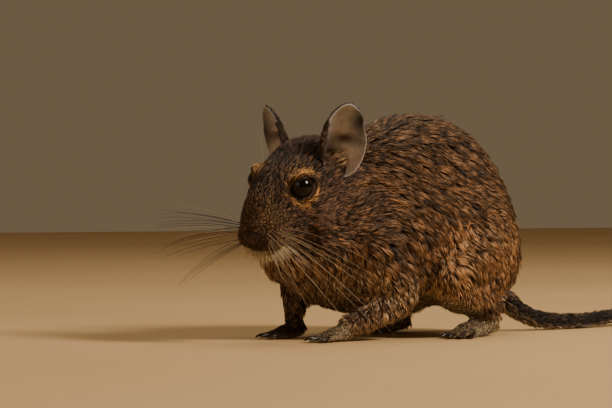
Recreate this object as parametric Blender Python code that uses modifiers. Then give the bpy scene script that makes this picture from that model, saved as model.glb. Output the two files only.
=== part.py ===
"""A life-size degu, standing on all fours with its back arched and its head turned to its left.

The flesh, out to the surface of the coat, is modelled whole: barrels, limbs and balls are joined, made one
surface by a voxel remesh and smoothed. It is then parted into its named pieces with thin cuts. The eyes sit in
their sockets, the ears are thin cups, and the whiskers and the brush of the tail are fused to what they grow
from. The nose points along -X, the left side faces -Y, and the soles and the tail rest at Z = 0.
"""

import math
import random

import bmesh
import bpy
from mathutils import Matrix, Vector
from mathutils.bvhtree import BVHTree

MM = 0.001
GAP = 0.3 * MM
HALF_GAP = GAP / 2
ROUGH_MARGIN = 2.0 * MM
MERGE = 0.00002

# How finely the whole surface is made before it is thinned out.
VOXEL = 0.6 * MM
SOFTEN_ROUNDS = 5
BLEND_ROUNDS = 70

# Where the blending of the whole surface starts, and over how far it comes in, in millimetres.
BLEND_OFF_EYES = (6, 8)
BLEND_OFF_SNOUT = (2, 14)
BLEND_OFF_FLOOR = (7, 8)
BLEND_OFF_TAIL = (54, 8)

# The torso along X: place, back line, belly line, half width, and height of its widest line, in millimetres.
TORSO = (
    (-57, 56, 25, 12, 41),
    (-52, 64, 19, 17, 41),
    (-43, 73, 14, 22, 42),
    (-32, 79.5, 11, 26, 42),
    (-18, 86, 10.5, 29, 43),
    (-2, 90.5, 11, 31, 45),
    (13, 90, 12, 31.5, 44),
    (26, 84.5, 12.5, 30, 41),
    (37, 74, 13, 26, 37),
    (45.5, 60, 14, 19.5, 33),
    (50.5, 45, 17, 11.5, 30),
)
TORSO_DOME = 4.0
HAUNCH_AT = (17, 19, 33)
HAUNCH_RADII = (22, 13.5, 24)
SHOULDER_AT = (-30, 16, 38)
SHOULDER_RADII = (15, 12, 22)
THROAT_AT = (-54, 2, 37)
THROAT_RADII = (14.0, 14.5, 15.5)

# The head has a frame of its own between the eyes: X to the nose, Y to the left, Z to the crown.
HEAD_AT = (-68.5, -10.6, 61.5)
HEAD_YAW = math.radians(15.3)
HEAD_PITCH = math.radians(28.0)
HEAD_ROLL = math.radians(8.3)
HEAD = (
    (-31, 5, -13, 12, -3),
    (-26, 8.4, -20.5, 15.5, -4),
    (-18, 10.6, -25.0, 16.8, -6),
    (-10, 11.2, -26.5, 16.6, -8),
    (-2, 10.2, -26.4, 15.0, -9.5),
    (5, 8.4, -25.5, 13.2, -10.5),
    (11, 5.8, -24.2, 11.4, -11.3),
    (17, 2.4, -22.6, 9.9, -12.0),
    (21.5, -1.6, -20.4, 8.0, -12.2),
    (24.2, -5.4, -17.2, 5.4, -11.8),
)
HEAD_DOME = 1.3
CHEEK_AT = (-6, 9.5, -12)
CHEEK_RADII = (12, 7.8, 10.5)
WHISKER_PAD_AT = (18.8, 5.2, -13.6)
WHISKER_PAD_RADII = (6.0, 5.4, 5.0)
CHIN_AT = (17.8, 0, -21.2)
CHIN_RADII = (4.8, 4.8, 3.2)
NOSE_AT = (24.1, 0, -10.6)
NOSE_RADII = (2.2, 3.6, 3.1)
MOUTH_RISE = -18.4
MOUTH_CORNER_DROP = 1.2
MOUTH_REACH = 95
MOUTH_MIDDLE = 16.5
MOUTH_GROOVE = 0.5
CLEFT_TOP = -12.8
CLEFT_GROOVE = 0.4
NOSTRIL_AT = (18.0, 2.0, -10.6)
NOSTRIL_LINE = ((-0.6, -0.9), (0, 0), (0.9, 0.45))
NOSTRIL_GROOVE = 0.55
BROW_AT = (-2.5, 8.6, 4.4)
BROW_RADII = (7.5, 3.4, 2.6)
NECK_FROM_HEAD = (-15, 0, -7)
NECK_RADIUS = 17.5
NECK_TO = (-30, 0, 55)
NECK_END_RADIUS = 25.0

# The opening between the lids is an oval on a ball a little larger than the eye.
EYE_AT = (-0.2, 9.6, 0.4)
EYE_RADIUS = 5.2
EYE_LOOK = (0.36, 0.90, 0.20)
EYE_LONG = (0.90, 0.0, 0.44)
LID_RINGS = ((6.1, 5.3, 4.1, 0.7), (6.0, 5.75, 4.9, 1.2))

# Each ear in the head's frame: the middle of its cup, the way that it opens and the way to its tip.
EARS = {
    "left": ((-20.3, 19.0, 10.7), (0.62, 0.74, 0.16), (-0.45, 0.02, 0.89), 30.4, 17.7, 7.6),
    "right": ((-20.5, -17.0, 7.6), (0.84, -0.42, 0.10), (-0.30, -0.12, 0.86), 26.5, 15.5, 4.5),
}
EAR_WALL = 0.9
EAR_NOTCH = 0.13
EAR_NOTCH_AT = 28.0
EAR_NOTCH_SPREAD = 13.0
EAR_TAPER = 0.10

# Where the joints of each limb lie, and how thick the furred limb is there.
FORELEGS = {
    "left": (((-30, -20, 38), 11.5), ((-19.5, -22.5, 19), 8.0), ((-30, -20, 11), 5.8), ((-40.5, -17.2, 6.6), 4.2)),
    "right": (((-35, 15, 40), 11.5), ((-42, 15, 25), 8.0), ((-45.2, 13, 14), 5.4), ((-46.2, 12.2, 7.0), 3.7)),
}
FOREPAWS = {"left": ((-43.0, -17.0), math.radians(1)), "right": ((-46.0, 12.0), math.radians(-2))}
HINDLEGS = {
    "left": (((18, -21, 34), 14.5), ((4, -25.5, 24), 10.5), ((17, -24, 15), 7.0), ((28, -20.6, 9.0), 5.0)),
    "right": (((13, 21, 34), 14.5), ((-10, 25, 24), 10.5), ((3, 24, 15), 7.0), ((13.5, 20.6, 9.0), 5.0)),
}
HINDFEET = {"left": ((28.0, -20.2), math.radians(21)), "right": ((14.0, 20.2), math.radians(-13))}

# A foot in its own frame: X to the toes, Y to its outer side. Each toe has its root, length and turn.
FOREPAW_PALM = (((-1.5, 0, 4.2), 3.6), ((3.2, 0, 3.0), 3.4), ((6.4, 0, 2.5), 3.0))
FOREPAW_TOES = (
    (6.2, -3.0, 5.2, -16),
    (7.6, -1.1, 6.6, -5),
    (7.6, 1.2, 6.6, 6),
    (6.2, 3.1, 5.4, 18),
)
HINDFOOT_SOLE = (((0, 0, 5.4), 4.6), ((7, 0, 3.6), 4.0), ((15, 0, 3.0), 3.9), ((20.5, 0, 2.7), 3.7))
HINDFOOT_TOES = (
    (17.5, -4.0, 5.0, -24),
    (20.6, -2.6, 6.6, -10),
    (21.4, 0.0, 7.2, 0),
    (20.6, 2.6, 6.4, 10),
    (17.5, 4.0, 4.8, 22),
)
TOE_RADIUS = 1.45
TOE_TIP_RADIUS = 1.05
TOE_TIP_SUNK = 0.1
TOE_ROOT_HEIGHT = 2.2
TOE_ROOT_SUNK = 3.0
TOE_ARCH = 2.1
CLAW_LENGTH = 3.2
CLAW_RADIUS = 0.75
CLAW_TIP_RADIUS = 0.3
CLAW_RISES = (0.35, 0.45, -0.35)

TAIL = (
    ((42, 0, 23), 6.5),
    ((52, -0.5, 14.5), 5.0),
    ((61, -1.2, 8.2), 4.1),
    ((73, -1.8, 4.4), 3.6),
    ((90, -1.5, 3.4), 3.45),
    ((106, 0.5, 3.8), 3.2),
    ((124, 4.0, 5.0), 2.9),
    ((142, 8.5, 5.6), 2.6),
    ((158, 13.0, 5.4), 2.3),
    ((170, 16.5, 4.9), 1.9),
)
TAIL_CUTS = (51.5, 92, 132)
BRUSH_LOCKS = 36
BRUSH_LENGTH = (11.0, 19.0)
BRUSH_FROM = 0.30
LOCK_WIDTH = 1.5
LOCK_THICK = 0.6
LOCK_SLANT = (0.16, 0.26)
LOCK_CLEAR = 0.8

WHISKER_ROWS = 3
WHISKER_COLUMNS = 4
WHISKER_LENGTH = 25.0
WHISKER_LENGTH_STEP = 8.5
WHISKER_START = (21.2, -9.6)
WHISKER_COLUMN_BACK = 1.9
WHISKER_ROW_STEP = (0.3, -2.5)
WHISKER_FAN_FROM = (15.1, -2.5, -12.1)
WHISKER_DROOP = {"left": 0.32, "right": 0.0}
WHISKER_SUNK = 1.6
WHISKER_BEND = (-0.0022, 0.0, -0.0042)
WHISKER_RADIUS = 0.34
WHISKER_TIP_RADIUS = 0.12

# Planes and boxes that part the body. A box is its low and high corner in millimetres.
MUZZLE_CUT = 13.0
HEAD_CUT = -26.0
JAW_CUT = -27.5
NECK_CUT_AT = (-33, -3, 55)
NECK_CUT_TOWARDS = (-0.88, -0.10, 0.22)
FORELEG_BOX = {
    "left": ((-75, -45, -5), (-9, -8.0, 27)),
    "right": ((-75, 5.5, -5), (-28, 45, 26)),
}
HINDLEG_BOX = {
    "left": ((-8, -50, -5), (41, -12.5, 48)),
    "right": ((-22, 12.5, -5), (36, 50, 48)),
}
WRIST_CUT = {"left": (-40.5, -17.2, 6.0), "right": (-46.4, 12.2, 7.0)}
WRIST_TOWARDS = {"left": (-0.85, 0.1, -0.5), "right": (-0.3, 0, -0.95)}
ANKLE_CUT = {"left": (25.0, -21.0, 8.0), "right": (10.5, 21.0, 8.0)}
ANKLE_TOWARDS = (-0.35, 0, -0.94)

TRIANGLES = {
    "head": 1600,
    "muzzle": 860,
    "neck": 360,
    "throat": 460,
    "torso": 2600,
    "foreleg": 340,
    "forepaw": 540,
    "hindleg": 440,
    "hindfoot": 640,
    "tail_base": 200,
    "tail_middle": 160,
    "tail_end": 200,
}

SEED = 7
SIDES = (("left", 1), ("right", -1))

# Colour, roughness of the surface, for a Principled material.
COAT = ("coat", (0.150, 0.072, 0.030), 0.85)
PALE_COAT = ("pale_coat", (0.42, 0.27, 0.14), 0.85)
EAR_SKIN = ("ear_skin", (0.20, 0.12, 0.09), 0.6)
EYE_WET = ("eye", (0.008, 0.006, 0.005), 0.08)
BRUSH = ("brush", (0.016, 0.011, 0.008), 0.8)


def millimetres(*values):
    return Vector(values) * MM


def clear_scene():
    for obj in list(bpy.data.objects):
        bpy.data.objects.remove(obj, do_unlink=True)


def new_collection(name):
    collection = bpy.data.collections.new(name)
    bpy.context.scene.collection.children.link(collection)
    return collection


def object_from(bm, name, collection):
    """A mesh object made from a bmesh, which is freed."""
    mesh = bpy.data.meshes.new(name)
    bm.to_mesh(mesh)
    bm.free()
    obj = bpy.data.objects.new(name, mesh)
    collection.objects.link(obj)
    return obj


def applied(obj):
    """The object with its modifiers made permanent."""
    bpy.context.view_layer.update()
    evaluated = obj.evaluated_get(bpy.context.evaluated_depsgraph_get())
    mesh = bpy.data.meshes.new_from_object(evaluated)
    obj.modifiers.clear()
    obj.data = mesh
    return obj


def smooth_rows(rows, steps):
    """Rows of numbers, with more rows put between them along a smooth curve."""
    found = []
    last = len(rows) - 1
    for i in range(last):
        before, start, end, after = rows[max(i - 1, 0)], rows[i], rows[i + 1], rows[min(i + 2, last)]
        for k in range(steps):
            t = k / steps
            found.append(
                tuple(
                    0.5 * (2 * b + (c - a) * t + (2 * a - 5 * b + 4 * c - d) * t**2 + (3 * b - a - 3 * c + d) * t**3)
                    for a, b, c, d in zip(before, start, end, after)
                )
            )
    found.append(tuple(rows[last]))
    return found


def loft(rings, name, collection):
    """A closed body through rings of the same number of points, with a flat fan at each end."""
    bm = bmesh.new()
    made = [[bm.verts.new(p) for p in ring] for ring in rings]
    count = len(made[0])
    for ring, following in zip(made, made[1:]):
        for k in range(count):
            after = (k + 1) % count
            bm.faces.new((ring[k], ring[after], following[after], following[k]))
    for ring in (made[0], made[-1]):
        centre = bm.verts.new(sum((v.co for v in ring), Vector()) / count)
        for k in range(count):
            bm.faces.new((ring[k], ring[(k + 1) % count], centre))
    bmesh.ops.recalc_face_normals(bm, faces=bm.faces)
    return object_from(bm, name, collection)


def barrel(stations, dome, place, name, collection, sides=40, steps=5):
    """A body through oval sections across X. Each station gives X, top, bottom, half width and widest height."""
    rows = smooth_rows(stations, steps)
    start, end = rows[0], rows[-1]
    way = 1 if end[0] > start[0] else -1
    domes = [math.radians(a) for a in (75, 50, 25)]
    sections = [(start, -way, a) for a in domes]
    sections += [(row, 0, 0) for row in rows]
    sections += [(end, way, a) for a in reversed(domes)]
    rings = []
    for (x, top, bottom, half_width, widest), outward, angle in sections:
        share = math.cos(angle)
        x += outward * dome * math.sin(angle)
        ring = []
        for k in range(sides):
            turn = 2 * math.pi * k / sides
            height = (top - widest if math.sin(turn) > 0 else widest - bottom) * math.sin(turn)
            ring.append(place @ millimetres(x, half_width * math.cos(turn) * share, widest + height * share))
        rings.append(ring)
    return loft(rings, name, collection)


def limb(path, place, name, collection, sides=20, steps=6):
    """A round-ended limb along a smooth path of (point, radius), in millimetres."""
    rows = smooth_rows([(*point, radius) for point, radius in path], steps)
    points = [Vector(row[:3]) for row in rows]
    radii = [row[3] for row in rows]
    first_way = (points[0] - points[1]).normalized()
    last_way = (points[-1] - points[-2]).normalized()
    domes = [math.radians(a) for a in (75, 50, 25)]
    centres = [points[0] + first_way * radii[0] * math.sin(a) for a in domes]
    sizes = [radii[0] * math.cos(a) for a in domes]
    centres += points
    sizes += radii
    centres += [points[-1] + last_way * radii[-1] * math.sin(a) for a in reversed(domes)]
    sizes += [radii[-1] * math.cos(a) for a in reversed(domes)]
    rings = []
    side = None
    for i, (centre, size) in enumerate(zip(centres, sizes)):
        along = centres[min(i + 1, len(centres) - 1)] - centres[max(i - 1, 0)]
        along.normalize()
        if side is None:
            side = along.orthogonal().normalized()
        side = (side - along * side.dot(along)).normalized()
        across = along.cross(side)
        ring = []
        for k in range(sides):
            turn = 2 * math.pi * k / sides
            offset = (side * math.cos(turn) + across * math.sin(turn)) * size
            ring.append(place @ ((centre + offset) * MM))
        rings.append(ring)
    return loft(rings, name, collection)


def ball(centre, radii, place, name, collection, segments=32):
    """An egg of three radii at a point of the given frame, in millimetres."""
    bm = bmesh.new()
    bmesh.ops.create_uvsphere(bm, u_segments=segments, v_segments=segments // 2, radius=1)
    size = Matrix.Diagonal((*(Vector(radii) * MM), 1))
    bmesh.ops.transform(bm, matrix=place @ Matrix.Translation(millimetres(*centre)) @ size, verts=bm.verts)
    if place.determinant() < 0:
        bmesh.ops.reverse_faces(bm, faces=bm.faces)
    return object_from(bm, name, collection)


def head_frame():
    """The head's frame in the body's: X to the nose, Y to the left, Z to the crown."""
    flat = Vector((-math.cos(HEAD_YAW), -math.sin(HEAD_YAW), 0))
    level = Vector((math.sin(HEAD_YAW), -math.cos(HEAD_YAW), 0))
    up = Vector((0, 0, 1))
    forward = flat * math.cos(HEAD_PITCH) - up * math.sin(HEAD_PITCH)
    raised = flat * math.sin(HEAD_PITCH) + up * math.cos(HEAD_PITCH)
    left = level * math.cos(HEAD_ROLL) - raised * math.sin(HEAD_ROLL)
    crown = raised * math.cos(HEAD_ROLL) + level * math.sin(HEAD_ROLL)
    turned = Matrix((forward, left, crown)).transposed().to_4x4()
    return Matrix.Translation(millimetres(*HEAD_AT)) @ turned


def foot_frame(at, turn):
    """A foot's frame on the floor: X to the toes, which point to -X and turn outwards."""
    return Matrix.Translation(millimetres(at[0], at[1], 0)) @ Matrix.Rotation(math.pi + turn, 4, "Z")


def side_of(point, side):
    return (point[0], point[1] * side, point[2])


def join(objects, name, collection):
    """One object that holds the meshes of several, which are removed."""
    bm = bmesh.new()
    for obj in objects:
        bm.from_mesh(obj.data)
    for obj in objects:
        bpy.data.objects.remove(obj, do_unlink=True)
    return object_from(bm, name, collection)


def lid_ring(place, side, size, name, collection):
    """One of the soft rings round an eye: a tube along an oval drawn on a ball."""
    ball_radius, half_long, half_short, thick = size
    look = Vector(side_of(EYE_LOOK, side)).normalized()
    across = Vector(side_of(EYE_LONG, side))
    across = (across - look * across.dot(look)).normalized()
    other = look.cross(across)
    bm = bmesh.new()
    count, sides = 48, 10
    rings = []
    for i in range(count):
        turn = 2 * math.pi * i / count
        reach = half_long * half_short / math.hypot(half_short * math.cos(turn), half_long * math.sin(turn))
        out = across * math.cos(turn) + other * math.sin(turn)
        centre = Vector(side_of(EYE_AT, side)) + out * reach + look * math.sqrt(ball_radius**2 - reach**2)
        ring = []
        for k in range(sides):
            roll = 2 * math.pi * k / sides
            offset = (out * math.cos(roll) + look * math.sin(roll)) * thick
            ring.append(bm.verts.new(place @ ((centre + offset) * MM)))
        rings.append(ring)
    for i in range(count):
        ring, following = rings[i], rings[(i + 1) % count]
        for k in range(sides):
            after = (k + 1) % sides
            bm.faces.new((ring[k], ring[after], following[after], following[k]))
    bmesh.ops.recalc_face_normals(bm, faces=bm.faces)
    return object_from(bm, name, collection)


def head_pieces(place, collection):
    """The skull's barrel with its cheeks, brows, whisker pads, chin, nose and lids."""
    pieces = [barrel(HEAD, HEAD_DOME, place, "skull", collection)]
    pieces.append(ball(NOSE_AT, NOSE_RADII, place, "nose", collection))
    pieces.append(ball(CHIN_AT, CHIN_RADII, place, "chin", collection))
    for name, side in SIDES:
        pieces.append(ball(side_of(CHEEK_AT, side), CHEEK_RADII, place, f"cheek_{name}", collection))
        pieces.append(ball(side_of(BROW_AT, side), BROW_RADII, place, f"brow_{name}", collection))
        pieces.append(ball(side_of(WHISKER_PAD_AT, side), WHISKER_PAD_RADII, place, f"pad_{name}", collection))
        for i, size in enumerate(LID_RINGS):
            pieces.append(lid_ring(place, side, size, f"lid_{name}_{i}", collection))
    return pieces


def foot_pieces(sole, toes, place, name, collection):
    """A sole with its arched toes, each ending in a short curved claw."""
    pieces = [limb(sole, place, f"{name}_sole", collection)]
    up = Vector((0, 0, 1))
    for i, (x, y, length, turn) in enumerate(toes):
        way = Vector((math.cos(math.radians(turn)), math.sin(math.radians(turn)), 0))
        root = Vector((x, y, TOE_ROOT_HEIGHT)) - way * TOE_ROOT_SUNK
        middle = Vector((x, y, TOE_ARCH)) + way * length * 0.5
        tip = Vector((x, y, TOE_TIP_RADIUS - TOE_TIP_SUNK)) + way * length
        path = ((root, TOE_RADIUS), (middle, TOE_RADIUS), (tip, TOE_TIP_RADIUS))
        pieces.append(limb(path, place, f"{name}_toe_{i}", collection, sides=14, steps=4))
        claw = (
            (tip + up * CLAW_RISES[0], CLAW_RADIUS),
            (tip + way * CLAW_LENGTH * 0.55 + up * CLAW_RISES[1], CLAW_RADIUS * 0.75),
            (tip + way * CLAW_LENGTH + up * CLAW_RISES[2], CLAW_TIP_RADIUS),
        )
        pieces.append(limb(claw, place, f"{name}_claw_{i}", collection, sides=10, steps=3))
    return pieces


def neck_piece(place, collection):
    start = place @ millimetres(*NECK_FROM_HEAD) / MM
    path = ((start, NECK_RADIUS), ((start + Vector(NECK_TO)) / 2, NECK_RADIUS + 1), (Vector(NECK_TO), NECK_END_RADIUS))
    return limb(path, Matrix(), "neck_tube", collection, sides=32)


def whole_flesh(collection):
    """Every soft piece joined, remeshed as one surface and smoothed."""
    world = Matrix()
    head = head_frame()
    pieces = [barrel(TORSO, TORSO_DOME, world, "barrel", collection), neck_piece(head, collection)]
    pieces.append(ball(THROAT_AT, THROAT_RADII, world, "throat", collection))
    pieces += head_pieces(head, collection)
    for name, side in SIDES:
        mirrored = -side
        pieces.append(ball(side_of(HAUNCH_AT, mirrored), HAUNCH_RADII, world, f"haunch_{name}", collection))
        pieces.append(ball(side_of(SHOULDER_AT, mirrored), SHOULDER_RADII, world, f"shoulder_{name}", collection))
        pieces.append(limb(FORELEGS[name], world, f"arm_{name}", collection))
        pieces.append(limb(HINDLEGS[name], world, f"thigh_{name}", collection))
        at, turn = FOREPAWS[name]
        pieces += foot_pieces(FOREPAW_PALM, FOREPAW_TOES, foot_frame(at, turn), f"fore_{name}", collection)
        at, turn = HINDFEET[name]
        pieces += foot_pieces(HINDFOOT_SOLE, HINDFOOT_TOES, foot_frame(at, turn), f"hind_{name}", collection)
    pieces.append(limb(TAIL, world, "tail", collection, sides=24))
    whole = join(pieces, "flesh", collection)
    remesh = whole.modifiers.new("One surface", "REMESH")
    remesh.mode = "VOXEL"
    remesh.voxel_size = VOXEL
    applied(whole)
    weigh_blend(whole, head)
    blend = whole.modifiers.new("Blend", "SMOOTH")
    blend.vertex_group = "blend"
    blend.iterations = BLEND_ROUNDS
    blend.factor = 0.6
    soften = whole.modifiers.new("Soften", "SMOOTH")
    soften.iterations = SOFTEN_ROUNDS
    soften.factor = 0.5
    return applied(whole)


def eased(value, start, over):
    """0 up to a start and 1 past it, with a straight rise between."""
    return min(max((value - start) / over, 0), 1)


def weigh_blend(whole, head):
    """Marks where the coat runs smoothly from piece to piece: least on the eyes, the snout, the feet and the tail."""
    group = whole.vertex_groups.new(name="blend")
    to_head = head.inverted()
    eyes = [Vector(side_of(EYE_AT, side)) for name, side in SIDES]
    for vertex in whole.data.vertices:
        local = to_head @ vertex.co / MM
        off_eyes = eased(min((local - eye).length for eye in eyes), *BLEND_OFF_EYES)
        off_snout = 1 - eased(local.x, *BLEND_OFF_SNOUT)
        off_floor = eased(vertex.co.z / MM, *BLEND_OFF_FLOOR)
        off_tail = 1 - eased(vertex.co.x / MM, *BLEND_OFF_TAIL)
        weight = off_eyes * off_snout * off_floor * off_tail
        if weight > 0:
            group.add((vertex.index,), weight, "REPLACE")


def cut_plane(bm, point, outward):
    """Cuts away what lies beyond a plane and closes the cut."""
    geometry = bm.verts[:] + bm.edges[:] + bm.faces[:]
    bmesh.ops.bisect_plane(bm, geom=geometry, dist=1e-7, plane_co=point, plane_no=outward, clear_outer=True)
    rim = [edge for edge in bm.edges if edge.is_boundary]
    bmesh.ops.holes_fill(bm, edges=rim, sides=0)


def keep_largest(bm):
    """Drops every closed surface but the largest, so that no loose scrap or sealed hollow stays."""
    left = set(bm.verts)
    shells = []
    while left:
        shell = {left.pop()}
        front = list(shell)
        while front:
            vertex = front.pop()
            fresh = [v for v in (edge.other_vert(vertex) for edge in vertex.link_edges) if v not in shell]
            shell.update(fresh)
            front += fresh
        left -= shell
        shells.append(shell)
    shells.sort(key=len)
    for shell in shells[:-1]:
        bmesh.ops.delete(bm, geom=list(shell), context="VERTS")


def part_off(flesh, planes, triangles, name, collection, margin=ROUGH_MARGIN):
    """One piece of the flesh: what lies inside the planes, thinned out and then cut exactly."""
    bm = bmesh.new()
    bm.from_mesh(flesh.data)
    for point, outward in planes:
        cut_plane(bm, point + outward * margin, outward)
    keep_largest(bm)
    bmesh.ops.triangulate(bm, faces=bm.faces)
    piece = object_from(bm, name, collection)
    thin = piece.modifiers.new("Thin out", "DECIMATE")
    thin.ratio = min(1.0, triangles / len(piece.data.polygons))
    thin.use_collapse_triangulate = True
    applied(piece)
    bm = bmesh.new()
    bm.from_mesh(piece.data)
    for point, outward in planes:
        cut_plane(bm, point - outward * HALF_GAP, outward)
    bmesh.ops.triangulate(bm, faces=bm.faces)
    bmesh.ops.dissolve_degenerate(bm, dist=MERGE, edges=bm.edges)
    bmesh.ops.triangulate(bm, faces=bm.faces)
    keep_largest(bm)
    bm.to_mesh(piece.data)
    bm.free()
    return piece


def floor_plane():
    """The floor lies half a gap under Z = 0, so that the cut itself falls on Z = 0."""
    return Vector((0, 0, -HALF_GAP)), Vector((0, 0, -1))


def box_planes(box):
    low, high = (Vector(corner) * MM for corner in box)
    planes = []
    for axis in range(3):
        outward = Vector((0, 0, 0))
        outward[axis] = 1
        planes.append((high, outward))
        if low[axis] > 0 or axis != 2:
            planes.append((low, -outward))
    return planes


def box_cutter(box, grow, name, collection):
    """A box that cuts its piece out of a neighbour, larger all round by the gap."""
    low, high = (Vector(corner) * MM for corner in box)
    bm = bmesh.new()
    bmesh.ops.create_cube(bm, size=1)
    size = high - low + Vector((grow, grow, grow)) * 2
    place = Matrix.Translation((low + high) / 2) @ Matrix.Diagonal((*size, 1))
    bmesh.ops.transform(bm, matrix=place, verts=bm.verts)
    cutter = object_from(bm, name, collection)
    cutter.hide_render = True
    cutter.display_type = "WIRE"
    return cutter


def cut_with(piece, cutters):
    """Cuts closed meshes out of a piece and keeps its largest body."""
    for cutter in cutters:
        modifier = piece.modifiers.new(f"Cut {cutter.name}", "BOOLEAN")
        modifier.operation = "DIFFERENCE"
        modifier.object = cutter
    applied(piece)
    tidy_up(piece)


def fuse(piece, pieces, name):
    """Joins closed pieces to the node that they grow from, with their roots sunk in."""
    roots = new_collection(name)
    for obj in pieces:
        roots.objects.link(obj)
        for other in obj.users_collection:
            if other != roots:
                other.objects.unlink(obj)
    union = piece.modifiers.new(f"Fuse {name}", "BOOLEAN")
    union.operation = "UNION"
    union.operand_type = "COLLECTION"
    union.collection = roots
    applied(piece)
    for obj in list(roots.objects):
        bpy.data.objects.remove(obj, do_unlink=True)
    bpy.data.collections.remove(roots)
    tidy_up(piece)


def tidy_up(piece):
    bm = bmesh.new()
    bm.from_mesh(piece.data)
    bmesh.ops.remove_doubles(bm, verts=bm.verts, dist=1e-7)
    bmesh.ops.triangulate(bm, faces=bm.faces)
    keep_largest(bm)
    bm.to_mesh(piece.data)
    bm.free()


def grown_copy(piece, grow, name, collection):
    """A copy of a piece swollen by the gap, which cuts what sits on it."""
    bm = bmesh.new()
    bm.from_mesh(piece.data)
    bm.normal_update()
    for vertex, offset in [(v, v.normal * grow) for v in bm.verts]:
        vertex.co += offset
    cutter = object_from(bm, name, collection)
    cutter.hide_render = True
    cutter.display_type = "WIRE"
    return cutter


def tube_cutter(points, radius, name, collection):
    """A round groove's cutter: a curve with a bevel along points that lie on the surface."""
    curve = bpy.data.curves.new(name, "CURVE")
    curve.dimensions = "3D"
    curve.bevel_depth = radius
    curve.bevel_resolution = 1
    curve.use_fill_caps = True
    spline = curve.splines.new("POLY")
    spline.points.add(len(points) - 1)
    for target, point in zip(spline.points, points):
        target.co = (*point, 1)
    made = bpy.data.objects.new(name, curve)
    collection.objects.link(made)
    bpy.context.view_layer.update()
    evaluated = made.evaluated_get(bpy.context.evaluated_depsgraph_get())
    mesh = bpy.data.meshes.new_from_object(evaluated)
    bpy.data.objects.remove(made, do_unlink=True)
    bm = bmesh.new()
    bm.from_mesh(mesh)
    bmesh.ops.remove_doubles(bm, verts=bm.verts, dist=MERGE)
    bmesh.ops.recalc_face_normals(bm, faces=bm.faces)
    cutter = object_from(bm, f"{name}_cutter", collection)
    cutter.hide_render = True
    cutter.display_type = "WIRE"
    return cutter


def surface_of(piece):
    bm = bmesh.new()
    bm.from_mesh(piece.data)
    tree = BVHTree.FromBMesh(bm)
    bm.free()
    return tree


def on_surface(tree, inside, way):
    """Where a ray from a point inside first leaves the surface."""
    hit = tree.ray_cast(inside, way)[0]
    return hit if hit is not None else tree.find_nearest(inside + way * 0.01)[0]


def carve_mouth(muzzle, head, collection):
    """The line of the mouth round the muzzle, the cleft below the nose and the two nostrils."""
    tree = surface_of(muzzle)
    turned = head.to_3x3()
    mouth = []
    for degrees in range(-MOUTH_REACH, MOUTH_REACH + 1, 10):
        angle = math.radians(degrees)
        rise = MOUTH_RISE - MOUTH_CORNER_DROP * (degrees / MOUTH_REACH) ** 2
        inside = head @ millimetres(MOUTH_MIDDLE, 0, rise)
        mouth.append(on_surface(tree, inside, turned @ Vector((math.cos(angle), math.sin(angle), 0))))
    cleft = []
    for share in (0, 0.25, 0.5, 0.75, 1.0):
        rise = CLEFT_TOP + (MOUTH_RISE - CLEFT_TOP) * share
        cleft.append(on_surface(tree, head @ millimetres(MOUTH_MIDDLE, 0, rise), turned @ Vector((1, 0, 0))))
    cutters = [tube_cutter(mouth, MOUTH_GROOVE * MM, "mouth", collection)]
    cutters.append(tube_cutter(cleft, CLEFT_GROOVE * MM, "cleft", collection))
    for name, side in SIDES:
        inside = head @ millimetres(*side_of(NOSTRIL_AT, side))
        at = on_surface(tree, inside, turned @ Vector((1, 0.06 * side, 0)))
        slit = [at + turned @ millimetres(0, y * side, z) for y, z in NOSTRIL_LINE]
        cutters.append(tube_cutter(slit, NOSTRIL_GROOVE * MM, f"nostril_{name}", collection))
    cut_with(muzzle, cutters)


def whisker(root, way, length, bend, name, collection):
    """One whisker as a slim three-sided spine that bends back along its length."""
    rings = []
    count = 6
    side = way.orthogonal()
    for i in range(count):
        share = i / (count - 1)
        reach = length * share
        centre = root + way * (reach - WHISKER_SUNK) + bend * reach**2
        along = (way + bend * reach * 2).normalized()
        side = (side - along * side.dot(along)).normalized()
        other = along.cross(side)
        radius = WHISKER_RADIUS + (WHISKER_TIP_RADIUS - WHISKER_RADIUS) * share
        turns = [2 * math.pi * k / 3 for k in range(3)]
        rings.append([(centre + (side * math.cos(t) + other * math.sin(t)) * radius) * MM for t in turns])
    return loft(rings, name, collection)


def whiskers(muzzle, head, collection):
    """Rows of whiskers that fan out from both pads, shorter at the front and longer at the back."""
    tree = surface_of(muzzle)
    turned = head.to_3x3()
    bend = turned @ Vector(WHISKER_BEND)
    crown = turned @ Vector((0, 0, 1))
    draw = random.Random(SEED)
    made = []
    for name, side in SIDES:
        middle = head @ millimetres(*side_of(WHISKER_FAN_FROM, side)) / MM
        for row in range(WHISKER_ROWS):
            for column in range(WHISKER_COLUMNS):
                if row == 2 and column == 3:
                    continue
                x = WHISKER_START[0] - WHISKER_COLUMN_BACK * column + WHISKER_ROW_STEP[0] * row
                z = WHISKER_START[1] + WHISKER_ROW_STEP[1] * row
                root = on_surface(tree, head @ millimetres(x, 0, z), turned @ Vector((0, side, 0))) / MM
                way = (root - middle).normalized() - crown * WHISKER_DROOP[name]
                way.normalize()
                length = (WHISKER_LENGTH + WHISKER_LENGTH_STEP * column) * draw.uniform(0.92, 1.08)
                made.append(whisker(root, way, length, bend, f"whisker_{name}_{row}_{column}", collection))
    return made


def ear_edge(x, y):
    """How far out the rim lies, as a share of an oval: it narrows to its tip and has a notch on its outer side."""
    degrees = math.degrees(math.atan2(y, x))
    notch = 1 - EAR_NOTCH * math.exp(-(((degrees - EAR_NOTCH_AT) / EAR_NOTCH_SPREAD) ** 2))
    return notch * (1 - EAR_TAPER * max(y, 0) ** 2 * abs(x))


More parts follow.
